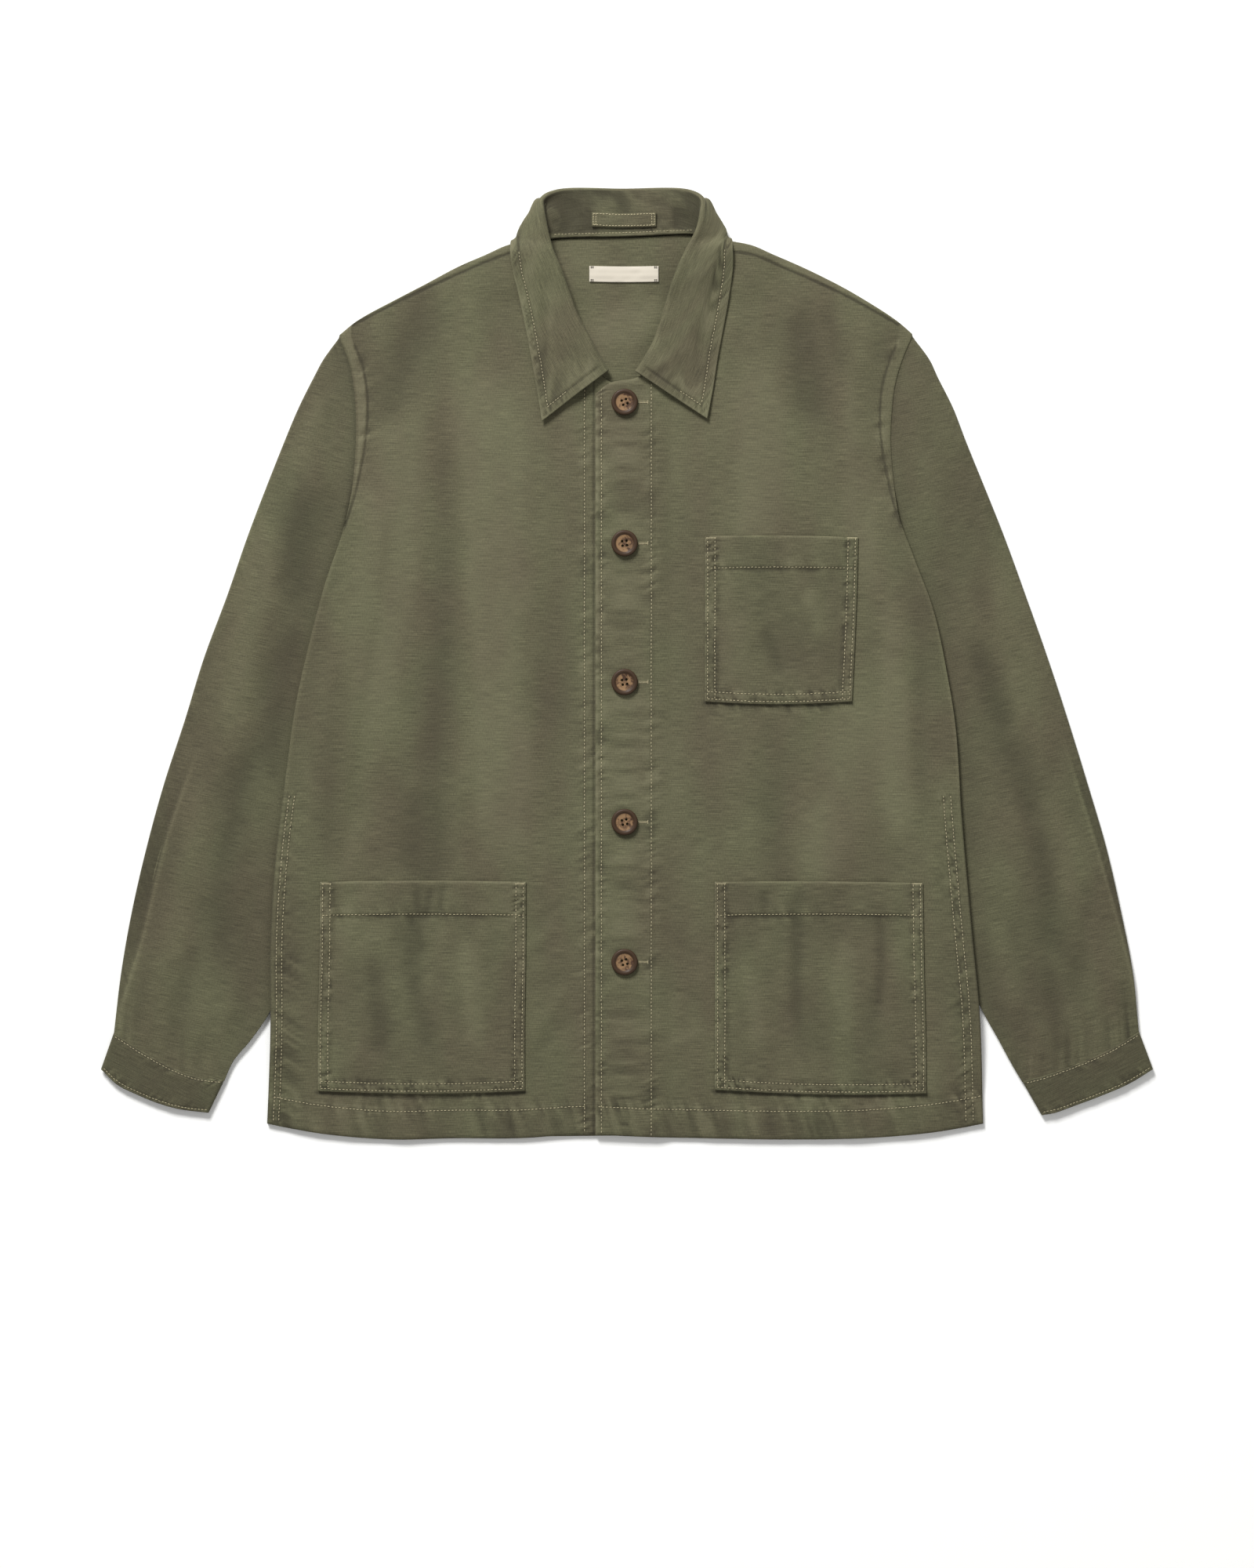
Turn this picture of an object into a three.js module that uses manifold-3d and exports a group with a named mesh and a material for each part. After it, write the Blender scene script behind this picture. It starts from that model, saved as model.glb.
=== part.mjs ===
// Chore jacket laid flat on its back, buttoned, sleeves at its sides.
// Millimetres, +Z up, collar towards +Y, front of the jacket facing up.
// "right" and "left" are the wearer's: the right side lies at -X.
import * as THREE from 'three';
import { mergeVertices } from 'three/addons/utils/BufferGeometryUtils.js';
import Module from 'manifold-3d';

const wasm = await Module();
wasm.setup();

// ---------------------------------------------------------------- driving sizes
const WALL = 1.5; // one layer of cloth
const SEAM = 0.3; // free space kept between neighbouring pieces
const LAYER = WALL + SEAM; // step from one layer to the next
const FLOOR_MID = WALL / 2; // middle of a layer that rests on the floor
const TURNED = 0.7; // extra height where an edge is turned and doubled
const HEM_DEPTH = 25; // turned hem
const PLACKET_EDGE = -26; // visible front edge, at -X of the buttons
const PLACKET_STITCH = 20; // inner stitch line of the turned front edge
const UNDERLAP_EDGE = 16; // edge of the front that lies underneath
const SLEEVE_FLAT = 3.6; // pressed sleeve: two layers and the air between
const SLEEVE_LOFT = 2.4; // extra height of the sleeve along its middle
const TUCK_CLEAR = 0.4; // body over sleeve
const CUFF_WALL = 2.2; // doubled cloth of the cuff
const CUFF_THICK = 5.2;
const ROLL_RADIUS = 1.9; // collar roll, to the middle of the cloth
const BUTTON_RADIUS = 10.9;
const BUTTON_X = -2;
const BUTTON_YS = [215, 99, -15, -130, -245];

const CLOTH = { color: 0x68654f, roughness: 0.92, metalness: 0 };
const INSIDE = { color: 0x6b6954, roughness: 0.92, metalness: 0 };
const HORN = { color: 0x5c4630, roughness: 0.35, metalness: 0 };
const WOVEN = { color: 0xddd6c8, roughness: 0.85, metalness: 0 };

const jacket = new THREE.Group();

// ---------------------------------------------------------------- small helpers
const clamp01 = (t) => Math.min(1, Math.max(0, t));
const smooth = (t) => clamp01(t) ** 2 * (3 - 2 * clamp01(t));
const mix = (a, b, t) => a + (b - a) * t;
const range = (count) => Array.from({ length: count }, (_, k) => k);

/** Evenly spaced points, [x, y], on a smooth line through the given ones. */
function along(points, steps) {
  const curve = new THREE.CatmullRomCurve3(
    points.map(([x, y]) => new THREE.Vector3(x, y, 0)), false, 'centripetal');
  return range(steps + 1).map((k) => {
    const p = curve.getPointAt(k / steps);
    return [p.x, p.y];
  });
}

/** Joins point rows end to end, dropping each repeated corner. */
const chain = (...rows) => rows.reduce((all, row) => all.concat(row.slice(all.length ? 1 : 0)), []);

/** x of an edge line, given as [x, y] from top to bottom, at a height y. */
function edgeX(line, y) {
  for (let k = 1; k < line.length; k += 1) {
    const [[x0, y0], [x1, y1]] = [line[k - 1], line[k]];
    if (y >= y1 || k === line.length - 1) {
      return mix(x0, x1, (y0 - y) / (y0 - y1));
    }
  }
  return line[0][0];
}

/** Patch between four edge rows: first and last run along u, start and end along v. */
function patch(first, last, start, end) {
  const nu = first.length - 1;
  const nv = start.length - 1;
  return range(nv + 1).map((j) => range(nu + 1).map((i) => {
    const [u, v] = [i / nu, j / nv];
    return [0, 1].map((c) => (1 - v) * first[i][c] + v * last[i][c]
      + (1 - u) * start[j][c] + u * end[j][c]
      - (1 - u) * (1 - v) * first[0][c] - u * (1 - v) * first[nu][c]
      - (1 - u) * v * last[0][c] - u * v * last[nu][c]);
  }));
}

/** Closed geometry from vertices and outward faces. */
function geometry(vertices, triangles) {
  const shape = new THREE.BufferGeometry();
  shape.setAttribute('position', new THREE.Float32BufferAttribute(vertices.flat(), 3));
  shape.setIndex(triangles.flat());
  return shape;
}

/** Closes a grid of outer and inner points; each is rows of [x, y, z], same size. */
function shell(outer, inner, ring = false) {
  const rows = outer.length;
  const cols = outer[0].length;
  const vertices = [...outer.flat(), ...inner.flat()];
  const triangles = [];
  const at = (side, j, i) => side * rows * cols + j * cols + (i % cols);
  const quad = (a, b, c, d) => triangles.push([a, b, c], [a, c, d]);
  const spans = ring ? cols : cols - 1;
  for (let j = 0; j < rows - 1; j += 1) {
    for (let i = 0; i < spans; i += 1) {
      quad(at(0, j, i), at(0, j + 1, i), at(0, j + 1, i + 1), at(0, j, i + 1));
      quad(at(1, j, i), at(1, j, i + 1), at(1, j + 1, i + 1), at(1, j + 1, i));
    }
  }
  for (let i = 0; i < spans; i += 1) {
    quad(at(0, 0, i), at(0, 0, i + 1), at(1, 0, i + 1), at(1, 0, i));
    quad(at(0, rows - 1, i), at(1, rows - 1, i), at(1, rows - 1, i + 1), at(0, rows - 1, i + 1));
  }
  for (let j = 0; j < rows - 1 && !ring; j += 1) {
    quad(at(0, j, 0), at(1, j, 0), at(1, j + 1, 0), at(0, j + 1, 0));
    quad(at(0, j, cols - 1), at(0, j + 1, cols - 1), at(1, j + 1, cols - 1), at(1, j, cols - 1));
  }
  return faceOut(geometry(vertices, triangles));
}

/** Turns all faces over where the shape is inside out. */
function faceOut(shape) {
  const position = shape.attributes.position;
  const index = shape.index.array;
  const [a, b, c] = [new THREE.Vector3(), new THREE.Vector3(), new THREE.Vector3()];
  let volume = 0;
  for (let k = 0; k < index.length; k += 3) {
    a.fromBufferAttribute(position, index[k]);
    b.fromBufferAttribute(position, index[k + 1]);
    c.fromBufferAttribute(position, index[k + 2]);
    volume += a.dot(b.cross(c));
  }
  if (volume < 0) {
    for (let k = 0; k < index.length; k += 3) {
      [index[k], index[k + 1]] = [index[k + 1], index[k]];
    }
  }
  return shape;
}

/** Cloth wall around a grid of middle points, rows of [x, y, z]. */
function cloth(middle, wall = WALL) {
  const rows = middle.length;
  const cols = middle[0].length;
  const point = (j, i) => new THREE.Vector3(...middle[Math.min(rows - 1, Math.max(0, j))][
    Math.min(cols - 1, Math.max(0, i))]);
  const side = (sign) => middle.map((row, j) => row.map((_, i) => {
    const across = point(j, i + 1).sub(point(j, i - 1)).normalize();
    const down = point(j + 1, i).sub(point(j - 1, i)).normalize();
    const normal = across.cross(down).normalize();
    return point(j, i).addScaledVector(normal, (sign * wall) / 2).toArray();
  }));
  return shell(side(1), side(-1));
}

/** The same geometry as a solid for joins and cuts. */
function solid(shape) {
  const bare = shape.clone();
  bare.deleteAttribute('normal');
  bare.deleteAttribute('uv');
  const merged = mergeVertices(bare, 1e-4);
  return new wasm.Manifold(new wasm.Mesh({
    numProp: 3,
    vertProperties: new Float32Array(merged.attributes.position.array),
    triVerts: new Uint32Array(merged.index.array),
  }));
}

/** A solid back as geometry. */
function fromSolid(body) {
  const mesh = body.getMesh();
  const shape = new THREE.BufferGeometry();
  shape.setAttribute('position', new THREE.BufferAttribute(new Float32Array(mesh.vertProperties), 3));
  shape.setIndex(new THREE.BufferAttribute(new Uint32Array(mesh.triVerts), 1));
  return shape;
}

/** Upright prism over an outline of [x, y]. */
function prism(outline, low = -5, high = 60) {
  const shape = new THREE.Shape(outline.map(([x, y]) => new THREE.Vector2(x, y)));
  const body = new THREE.ExtrudeGeometry(shape, { depth: high - low, bevelEnabled: false });
  body.translate(0, 0, low);
  return solid(body);
}

/** Copy of a panel inside an outline, moved up: what is sewn on it has its form. */
function onPanel(panel, outline, rise) {
  return solid(panel.clone().translate(0, 0, rise)).intersect(prism(outline));
}

/** Adds a named piece to the jacket. */
function add(name, shape, finish) {
  const mesh = new THREE.Mesh(shape, new THREE.MeshStandardMaterial(finish));
  mesh.name = name;
  jacket.add(mesh);
  return mesh;
}

// ---------------------------------------------------------------- outlines, [x, y]
const ROWS = 20; // steps from shoulder to hem
const SHOULDER_STEPS = 9;
const BACK_NECK_STEPS = 6;
const FRONT_NECK_STEPS = 6;
const ARMHOLE_STEPS = 5; // rows of the body that meet the sleeve edge to edge

// Armhole seam, then the side of the body, down to the hem.
const BODY_EDGE = {
  right: [[-237, 268], [-228, 244], [-224, 219], [-223, 186], [-225, 154], [-228, 132], [-235, 104],
    [-248, 66], [-259, 25], [-272, -33], [-280, -90], [-288, -152], [-293, -227], [-293, -300],
    [-296, -378]],
  left: [[235, 269], [227, 250], [221, 230], [218, 207], [217, 182], [220, 144], [224, 119], [235, 89],
    [252, 43], [263, -8], [270, -52], [275, -124], [283, -215], [290, -290], [293, -378]],
};

// Shoulder fold of the back, from the armhole to the neck.
const SHOULDER = {
  right: [[-237, 268], [-222, 280], [-189, 298], [-164, 311], [-137, 325], [-113, 335],
    [-98, 342], [-82, 346]],
  left: [[235, 269], [222, 280], [194, 298], [171, 311], [144, 324], [118, 335], [101, 342], [76, 347]],
};
const BACK_NECK = [[-82, 346], [-70, 347], [-58, 349], [-38, 350], [0, 350.5],
  [33, 352], [50, 353], [62, 351], [76, 347]];

// Neckline of each front, from its front edge to the shoulder.
const FRONT_NECK = {
  right: [[UNDERLAP_EDGE, 229], [-5, 229], [-17, 234], [-28, 245], [-41, 259], [-52, 276], [-61, 296],
    [-70, 317], [-82, 346]],
  left: [[PLACKET_EDGE, 222], [-14, 231], [7, 235], [18, 241], [31, 254], [43, 271], [53, 291], [63, 314],
    [76, 347]],
};
const BACK_HEM = [[-296, -378], [-276, -382], [-245, -386], [-194, -390], [-100, -389], [-5, -388],
  [64, -389], [129, -390], [194, -389], [245, -385], [272, -381], [293, -378]];
const HEM = {
  right: [[UNDERLAP_EDGE, -388], [-39, -387], [-90, -390], [-142, -390], [-194, -391], [-245, -387],
    [-276, -382], [-296, -378]],
  left: [[PLACKET_EDGE, -387], [20, -389], [64, -390], [129, -391], [194, -390], [245, -386],
    [272, -382], [293, -378]],
};

// Sleeves: the outer fold, and the inner fold with the part that lies under the body.
const SLEEVE_OUTER = {
  right: [[-237, 268], [-250, 250], [-257, 237], [-270, 211], [-281, 185], [-311, 108], [-329, 56],
    [-348, 5], [-364, -47], [-381, -99], [-395, -150], [-407, -202], [-416, -253], [-422, -301]],
  left: [[235, 269], [249, 250], [255, 237], [268, 211], [278, 185], [309, 108], [328, 56], [346, 5],
    [363, -47], [379, -99], [394, -150], [406, -202], [416, -253], [421, -300]],
};
const SLEEVE_INNER = {
  right: [[-235, 104], [-239, 62], [-245, 20], [-255, -40], [-264, -100], [-272, -160], [-279, -220],
    [-289, -275], [-307, -304], [-322, -322], [-330, -341]],
  left: [[235, 89], [239, 55], [245, 15], [251, -40], [256, -100], [262, -160], [270, -220], [286, -272],
    [304, -306], [316, -328], [324, -342]],
};
const ARMPIT_ROW = 2; // row of SLEEVE_INNER where the armhole ends
const CUFF_SEAM = {
  right: [[-422, -303], [-400, -317], [-377, -330], [-358, -338], [-345, -341], [-331, -342]],
  left: [[421, -302], [405, -312], [390, -320], [374, -327], [344, -338], [325, -343]],
};
const CUFF_BOTTOM = {
  right: [[-432.6, -333], [-419, -346], [-403, -354], [-386, -361], [-368, -366], [-344, -369]],
  left: [[432.6, -333], [413, -345], [390, -355], [366, -364], [352, -369], [341, -371]],
};

// ---------------------------------------------------------------- heights
const TUCK_TOP = 104; // the body starts to ride over the sleeve below this
const TUCK_LOW = -292; // and comes down again below this
const TUCK_LINE = { // how far in the body is carried, each side
  right: [...SLEEVE_INNER.right.slice(0, 8), [-292, -378]],
  left: [...SLEEVE_INNER.left.slice(0, 8), [289, -378]],
};
const TUCK_HEIGHT = SLEEVE_FLAT + TUCK_CLEAR;
const COLLAR_X = -3.5; // middle of the collar
const NECK_HEIGHT = LAYER + 0.5; // back over the hidden part of the collar leaf
const CARRY_CLEAR = 0.9; // more room between the layers where they bend over the sleeve

/** How far a point lies inwards of an edge line of one side. */
const inward = (lines, x, y) => (x < 0 ? x - edgeX(lines.right, y) : edgeX(lines.left, y) - x);

/** Height at which the back is carried by the tucked sleeves and the collar. */
function carried(x, y) {
  const lengthwise = smooth((TUCK_TOP + 48 - y) / 40) * smooth((y - TUCK_LOW + 70) / 70);
  const crosswise = 1 - smooth((inward(TUCK_LINE, x, y) - 6) / 40);
  const atNeck = smooth((y - 290) / 38) * (1 - smooth((Math.abs(x - COLLAR_X) - 104) / 30));
  return Math.max(TUCK_HEIGHT * lengthwise * crosswise, NECK_HEIGHT * atNeck);
}

// Largest folds of the fronts: a line, half width and height (a trough is negative).
const FRONT_FOLDS = [
  { x0: -148, y0: 290, x1: -158, y1: -120, width: 17, height: -1.3 },
  { x0: -196, y0: 230, x1: -205, y1: -60, width: 22, height: 1.2 },
  { x0: -112, y0: 250, x1: -104, y1: -160, width: 26, height: 1.3 },
  { x0: -160, y0: -120, x1: -168, y1: -330, width: 16, height: -0.9 },
  { x0: 146, y0: 285, x1: 156, y1: 120, width: 13, height: -1.3 },
  { x0: 186, y0: 240, x1: 196, y1: 60, width: 15, height: 1.2 },
  { x0: 112, y0: 240, x1: 104, y1: 20, width: 20, height: 1.2 },
  { x0: 214, y0: 60, x1: 222, y1: -150, width: 14, height: 1.1 },
  { x0: 200, y0: -10, x1: 160, y1: -170, width: 26, height: 0.9 },
  { x0: 118, y0: -60, x1: 132, y1: -330, width: 14, height: -0.9 },
  { x0: 172, y0: -190, x1: 176, y1: -340, width: 12, height: -0.8 },
];

/** Height of one fold at a point: rounded across, faded at its ends. */
function foldHeight(fold, x, y) {
  const [dx, dy] = [fold.x1 - fold.x0, fold.y1 - fold.y0];
  const length = Math.hypot(dx, dy);
  const t = ((x - fold.x0) * dx + (y - fold.y0) * dy) / length ** 2;
  const off = ((x - fold.x0) * dy - (y - fold.y0) * dx) / length;
  const ends = smooth((t + 0.1) / 0.3) * smooth((1.1 - t) / 0.3);
  return fold.height * ends * Math.exp(-((off / fold.width) ** 2));
}

/** Air under the fronts: none at their edges, more along the folds. */
function loft(x, y) {
  const ease = smooth((inward(BODY_EDGE, x, y) - 4) / 36) * smooth((Math.abs(x + 3) - 38) / 40)
    * mix(0.35, 1, smooth((y + 385) / 60)) * mix(0.3, 1, smooth((350 - y) / 70));
  const folds = FRONT_FOLDS.reduce((sum, fold) => sum + foldHeight(fold, x, y), 0);
  return ease * Math.max(0.1, 1.5 + folds);
}

const backMid = (x, y) => FLOOR_MID + carried(x, y);
const frontMid = (x, y) => backMid(x, y) + LAYER + loft(x, y) + CARRY_CLEAR * smooth(carried(x, y) / 1.2);

/** The lapping front is one layer higher over the underlap. */
const lapMid = (x, y) => frontMid(x, y) + LAYER * (1 - smooth((x - PLACKET_STITCH - 2) / 16));

// ---------------------------------------------------------------- body
const LIP_FLAT = [1.5, 3]; // last rows of the back where they stay flat
const LIP_OUT = [2.2, 2.2]; // and where they turn up into the shoulder fold
const LIP_RISE = [0.9, 2.35];
const HEM_BELOW = -400; // past the lowest edge
const FRONT_TO_FOLD = 1; // the fronts end this far past the back's shoulder line
const PAST_PLACKET = PLACKET_EDGE - 5; // clear of the front edge
const ABOVE_PLACKET = 260; // clear of the neckline
const HEM_LAP = 0.5; // the hem reaches this far into the turned front edge

/** Unit vector to the left of a line's direction, at one of its points. */
function leftOf(line, k) {
  const [a, b] = [line[Math.max(0, k - 1)], line[Math.min(line.length - 1, k + 1)]];
  const size = Math.hypot(b[0] - a[0], b[1] - a[1]);
  return [-(b[1] - a[1]) / size, (b[0] - a[0]) / size];
}

const shoulderRight = along(SHOULDER.right, SHOULDER_STEPS);
const shoulderLeft = along(SHOULDER.left, SHOULDER_STEPS).reverse();
const backTop = chain(shoulderRight, along(BACK_NECK, BACK_NECK_STEPS), shoulderLeft);

/** Back panel: one grid, with the shoulder edges turned up to the fronts. */
function makeBack() {
  const count = backTop.length - 1;
  const [right, left] = [along(BODY_EDGE.right, ROWS), along(BODY_EDGE.left, ROWS)];
  const plan = patch(backTop, along(BACK_HEM, count), right, left);
  const panel = plan.map((row) => row.map(([x, y]) => [x, y, backMid(x, y)]));
  const lips = [1, 0].map((k) => backTop.map(([x, y], i) => {
    const [nx, ny] = leftOf(backTop, i);
    const reach = Math.abs(x - COLLAR_X);
    const turn = smooth((reach - 100) / 14) * smooth((232 - reach) / 12);
    const out = mix(LIP_FLAT[k], LIP_OUT[k], turn);
    return [x + nx * out, y + ny * out, backMid(x, y) + LIP_RISE[k] * turn];
  }));
  return cloth([...lips, ...panel]);
}

/** Front panel between its front edge and the side, as a grid from neck to hem. */
function makeFront(side, height) {
  const shoulder = side === 'right' ? shoulderRight : shoulderLeft;
  const outwards = shoulder.map(([x, y], k) => {
    const [nx, ny] = leftOf(shoulder, k);
    return [x + nx * FRONT_TO_FOLD, y + ny * FRONT_TO_FOLD];
  });
  if (side === 'right') {
    outwards.reverse();
  }
  const body = along(BODY_EDGE[side], ROWS);
  outwards[0] = FRONT_NECK[side].at(-1);
  outwards[outwards.length - 1] = body[0];
  const top = chain(along(FRONT_NECK[side], FRONT_NECK_STEPS), outwards);
  const hem = along(HEM[side], top.length - 1);
  const plan = patch(top, hem, along([top[0], hem[0]], ROWS), body);
  return cloth(plan.map((row) => row.map(([x, y]) => [x, y, height(x, y)])));
}

/** Outline of the turned hem of one front, from a place across to its side. */
function hemOutline(side, start) {
  const corner = HEM[side].at(-1);
  const outwards = Math.sign(corner[0]);
  const line = HEM[side].filter(([x]) => outwards * x > outwards * start + 5);
  const stitches = [[start, line[0][1]], ...line, [corner[0] * 1.1, corner[1]]]
    .map(([x, y]) => [x, y + HEM_DEPTH]);
  return [[start, HEM_BELOW], [corner[0] * 1.1, HEM_BELOW], ...stitches.reverse()];
}

const frontRight = makeFront('right', frontMid);
const frontLeft = makeFront('left', lapMid);
const PLACKET_OUTLINE = [[PAST_PLACKET, HEM_BELOW], [PLACKET_STITCH, HEM_BELOW],
  [PLACKET_STITCH, ABOVE_PLACKET], [PAST_PLACKET, ABOVE_PLACKET]];
const hemRight = onPanel(frontRight, hemOutline('right', PLACKET_EDGE - SEAM), TURNED);
const hemLeft = onPanel(frontLeft, hemOutline('left', PLACKET_STITCH - HEM_LAP), TURNED);
const turnedEdge = onPanel(frontLeft, PLACKET_OUTLINE, TURNED);

add('back', makeBack(), INSIDE);
add('front_right', fromSolid(solid(frontRight).add(hemRight)), CLOTH);
add('front_left', fromSolid(solid(frontLeft).add(hemLeft).add(turnedEdge)), CLOTH);

// ---------------------------------------------------------------- patch pockets
const REACH = 500; // past the whole jacket
const POCKETS = [
  {
    node: 'pocket_chest',
    panel: frontLeft,
    corners: [[64, -31], [185, -31], [190, 104], [127, 106], [64, 105]],
    band: 78, // lower edge of the turned top
  },
  {
    node: 'pocket_left',
    panel: frontLeft,
    corners: [[72, -350], [246, -353], [243, -180], [158, -181], [72, -179]],
    band: -206,
  },
  {
    node: 'pocket_right',
    panel: frontRight,
    corners: [[-254, -351], [-168, -357], [-84, -351], [-83, -179], [-168, -182], [-252, -179]],
    band: -206,
  },
];

for (const { node, panel, corners, band } of POCKETS) {
  const aboveBand = prism([[-REACH, band], [REACH, band], [REACH, REACH], [-REACH, REACH]]);
  const turnedTop = onPanel(panel, corners, LAYER + TURNED).intersect(aboveBand);
  add(node, fromSolid(onPanel(panel, corners, LAYER).add(turnedTop)), CLOTH);
}

// ---------------------------------------------------------------- sleeves and cuffs
const OUTWARDS = { right: -1, left: 1 }; // away from the body along X
const SLEEVE_STEPS = 16;
const ARMHOLE_HIDDEN_STEPS = 3;
const FOLD_INSET = 1.7; // where the rounded side fold of a tube starts
const FOLD_TOP = 0.94; // height there, as a share of the full height
const FOLD_LIFT = 0.25; // and how far it is off the floor
const BODY_GAP = SEAM + 0.2; // sleeve to body at the armhole
const CUFF_STEPS = 8;
const CUFF_ROWS = 3;
const CUFF_GAP = [0.25, -(SEAM + 0.15)]; // outwards and down from the sleeve's end

// Largest folds of the sleeves: place across (0 outer, 1 inner), length range, height.
const SLEEVE_FOLDS = {
  right: [
    { across: 0.2, from: 0.45, to: 1.0, width: 0.1, height: 0.5 },
    { across: 0.45, from: 0.1, to: 0.75, width: 0.13, height: 0.6 },
    { across: 0.66, from: 0.25, to: 0.8, width: 0.1, height: -0.9 },
  ],
  left: [
    { across: 0.3, from: 0.2, to: 0.95, width: 0.12, height: 0.6 },
    { across: 0.55, from: 0.35, to: 0.9, width: 0.08, height: -1.0 },
    { across: 0.7, from: 0.4, to: 0.95, width: 0.1, height: 0.5 },
  ],
};

/** Top of a laid sleeve: flat under the body's side, fuller outside it. */
function sleeveTop(side, [x, y], across, lengthwise) {
  const outside = Math.min(-inward(BODY_EDGE, x, y), -inward(SLEEVE_INNER, x, y));
  const ease = smooth(across / 0.25) * smooth((outside - 9) / 34) * smooth(lengthwise / 0.12);
  const folds = SLEEVE_FOLDS[side].reduce((sum, fold) => {
    const ends = smooth((lengthwise - fold.from) / 0.15) * smooth((fold.to - lengthwise) / 0.15);
    return sum + fold.height * ends * Math.exp(-(((across - fold.across) / fold.width) ** 2));
  }, 0);
  return SLEEVE_FLAT + ease * (SLEEVE_LOFT + folds);
}

/**
 * Flat tube of cloth lying on the floor. plan: rows of [x, y] across it;
 * top: its height at a row and column; both ends stay open.
 */
function tube(plan, top, wall) {
  const inset = (from, to, distance) => {
    const length = Math.hypot(to[0] - from[0], to[1] - from[1]);
    return [0, 1].map((c) => from[c] + ((to[c] - from[c]) * distance) / length);
  };
  const section = (row, j, inside) => {
    const last = row.length - 1;
    const depth = inside ? wall : 0;
    const fold = [inset(row[0], row[1], depth), inset(row[last], row[last - 1], depth)];
    const inwards = depth + FOLD_INSET;
    const start = [inset(row[0], row[1], inwards), inset(row[last], row[last - 1], inwards)];
    const middle = row.slice(1, -1);
    const across = [start[0], ...middle, start[1]];
    const atEdge = (k) => k === 0 || k === last;
    const upper = across.map(([x, y], k) => [x, y, top(j, k) * (atEdge(k) ? FOLD_TOP : 1) - depth]);
    const lower = across.map(([x, y], k) => [x, y, (atEdge(k) && !inside ? FOLD_LIFT : 0) + depth]);
    return [[...fold[0], top(j, 0) / 2], ...upper, [...fold[1], top(j, last) / 2], ...lower.reverse()];
  };
  const [outer, inner] = [false, true].map((inside) => plan.map((row, j) => section(row, j, inside)));
  return shell(outer, inner, true);
}

/** Moves a row of points a little way in one direction each. */
const shifted = (row, [dx, dy]) => row.map(([x, y]) => [x + dx, y + dy]);

function makeSleeve(side) {
  const outwards = OUTWARDS[side];
  const seam = along(BODY_EDGE[side], ROWS).slice(0, ARMHOLE_STEPS + 1);
  const hidden = along([seam.at(-1), ...SLEEVE_INNER[side].slice(1, ARMPIT_ROW + 1)], ARMHOLE_HIDDEN_STEPS);
  const armhole = shifted(chain(seam, hidden), [outwards * BODY_GAP, 0]);
  const wrist = along(CUFF_SEAM[side], armhole.length - 1);
  const outer = along([armhole[0], ...SLEEVE_OUTER[side].slice(1, -1), wrist[0]], SLEEVE_STEPS);
  const innerLine = [armhole.at(-1), ...SLEEVE_INNER[side].slice(ARMPIT_ROW + 1, -1), wrist.at(-1)];
  const inner = along(innerLine, SLEEVE_STEPS);
  const plan = patch(armhole, wrist, outer, inner);
  const last = armhole.length - 1;
  return tube(plan, (j, i) => sleeveTop(side, plan[j][i], i / last, j / SLEEVE_STEPS), WALL);
}

function makeCuff(side) {
  const gap = [OUTWARDS[side] * CUFF_GAP[0], CUFF_GAP[1]];
  const seam = shifted(along(CUFF_SEAM[side], CUFF_STEPS), gap);
  const bottom = along(CUFF_BOTTOM[side], CUFF_STEPS);
  const outer = along([seam[0], bottom[0]], CUFF_ROWS);
  const inner = along([seam.at(-1), bottom.at(-1)], CUFF_ROWS);
  const plan = patch(seam, bottom, outer, inner);
  return tube(plan, () => CUFF_THICK, CUFF_WALL);
}

for (const side of ['right', 'left']) {
  add(`sleeve_${side}`, makeSleeve(side), CLOTH);
  add(`cuff_${side}`, makeCuff(side), CLOTH);
}

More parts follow.
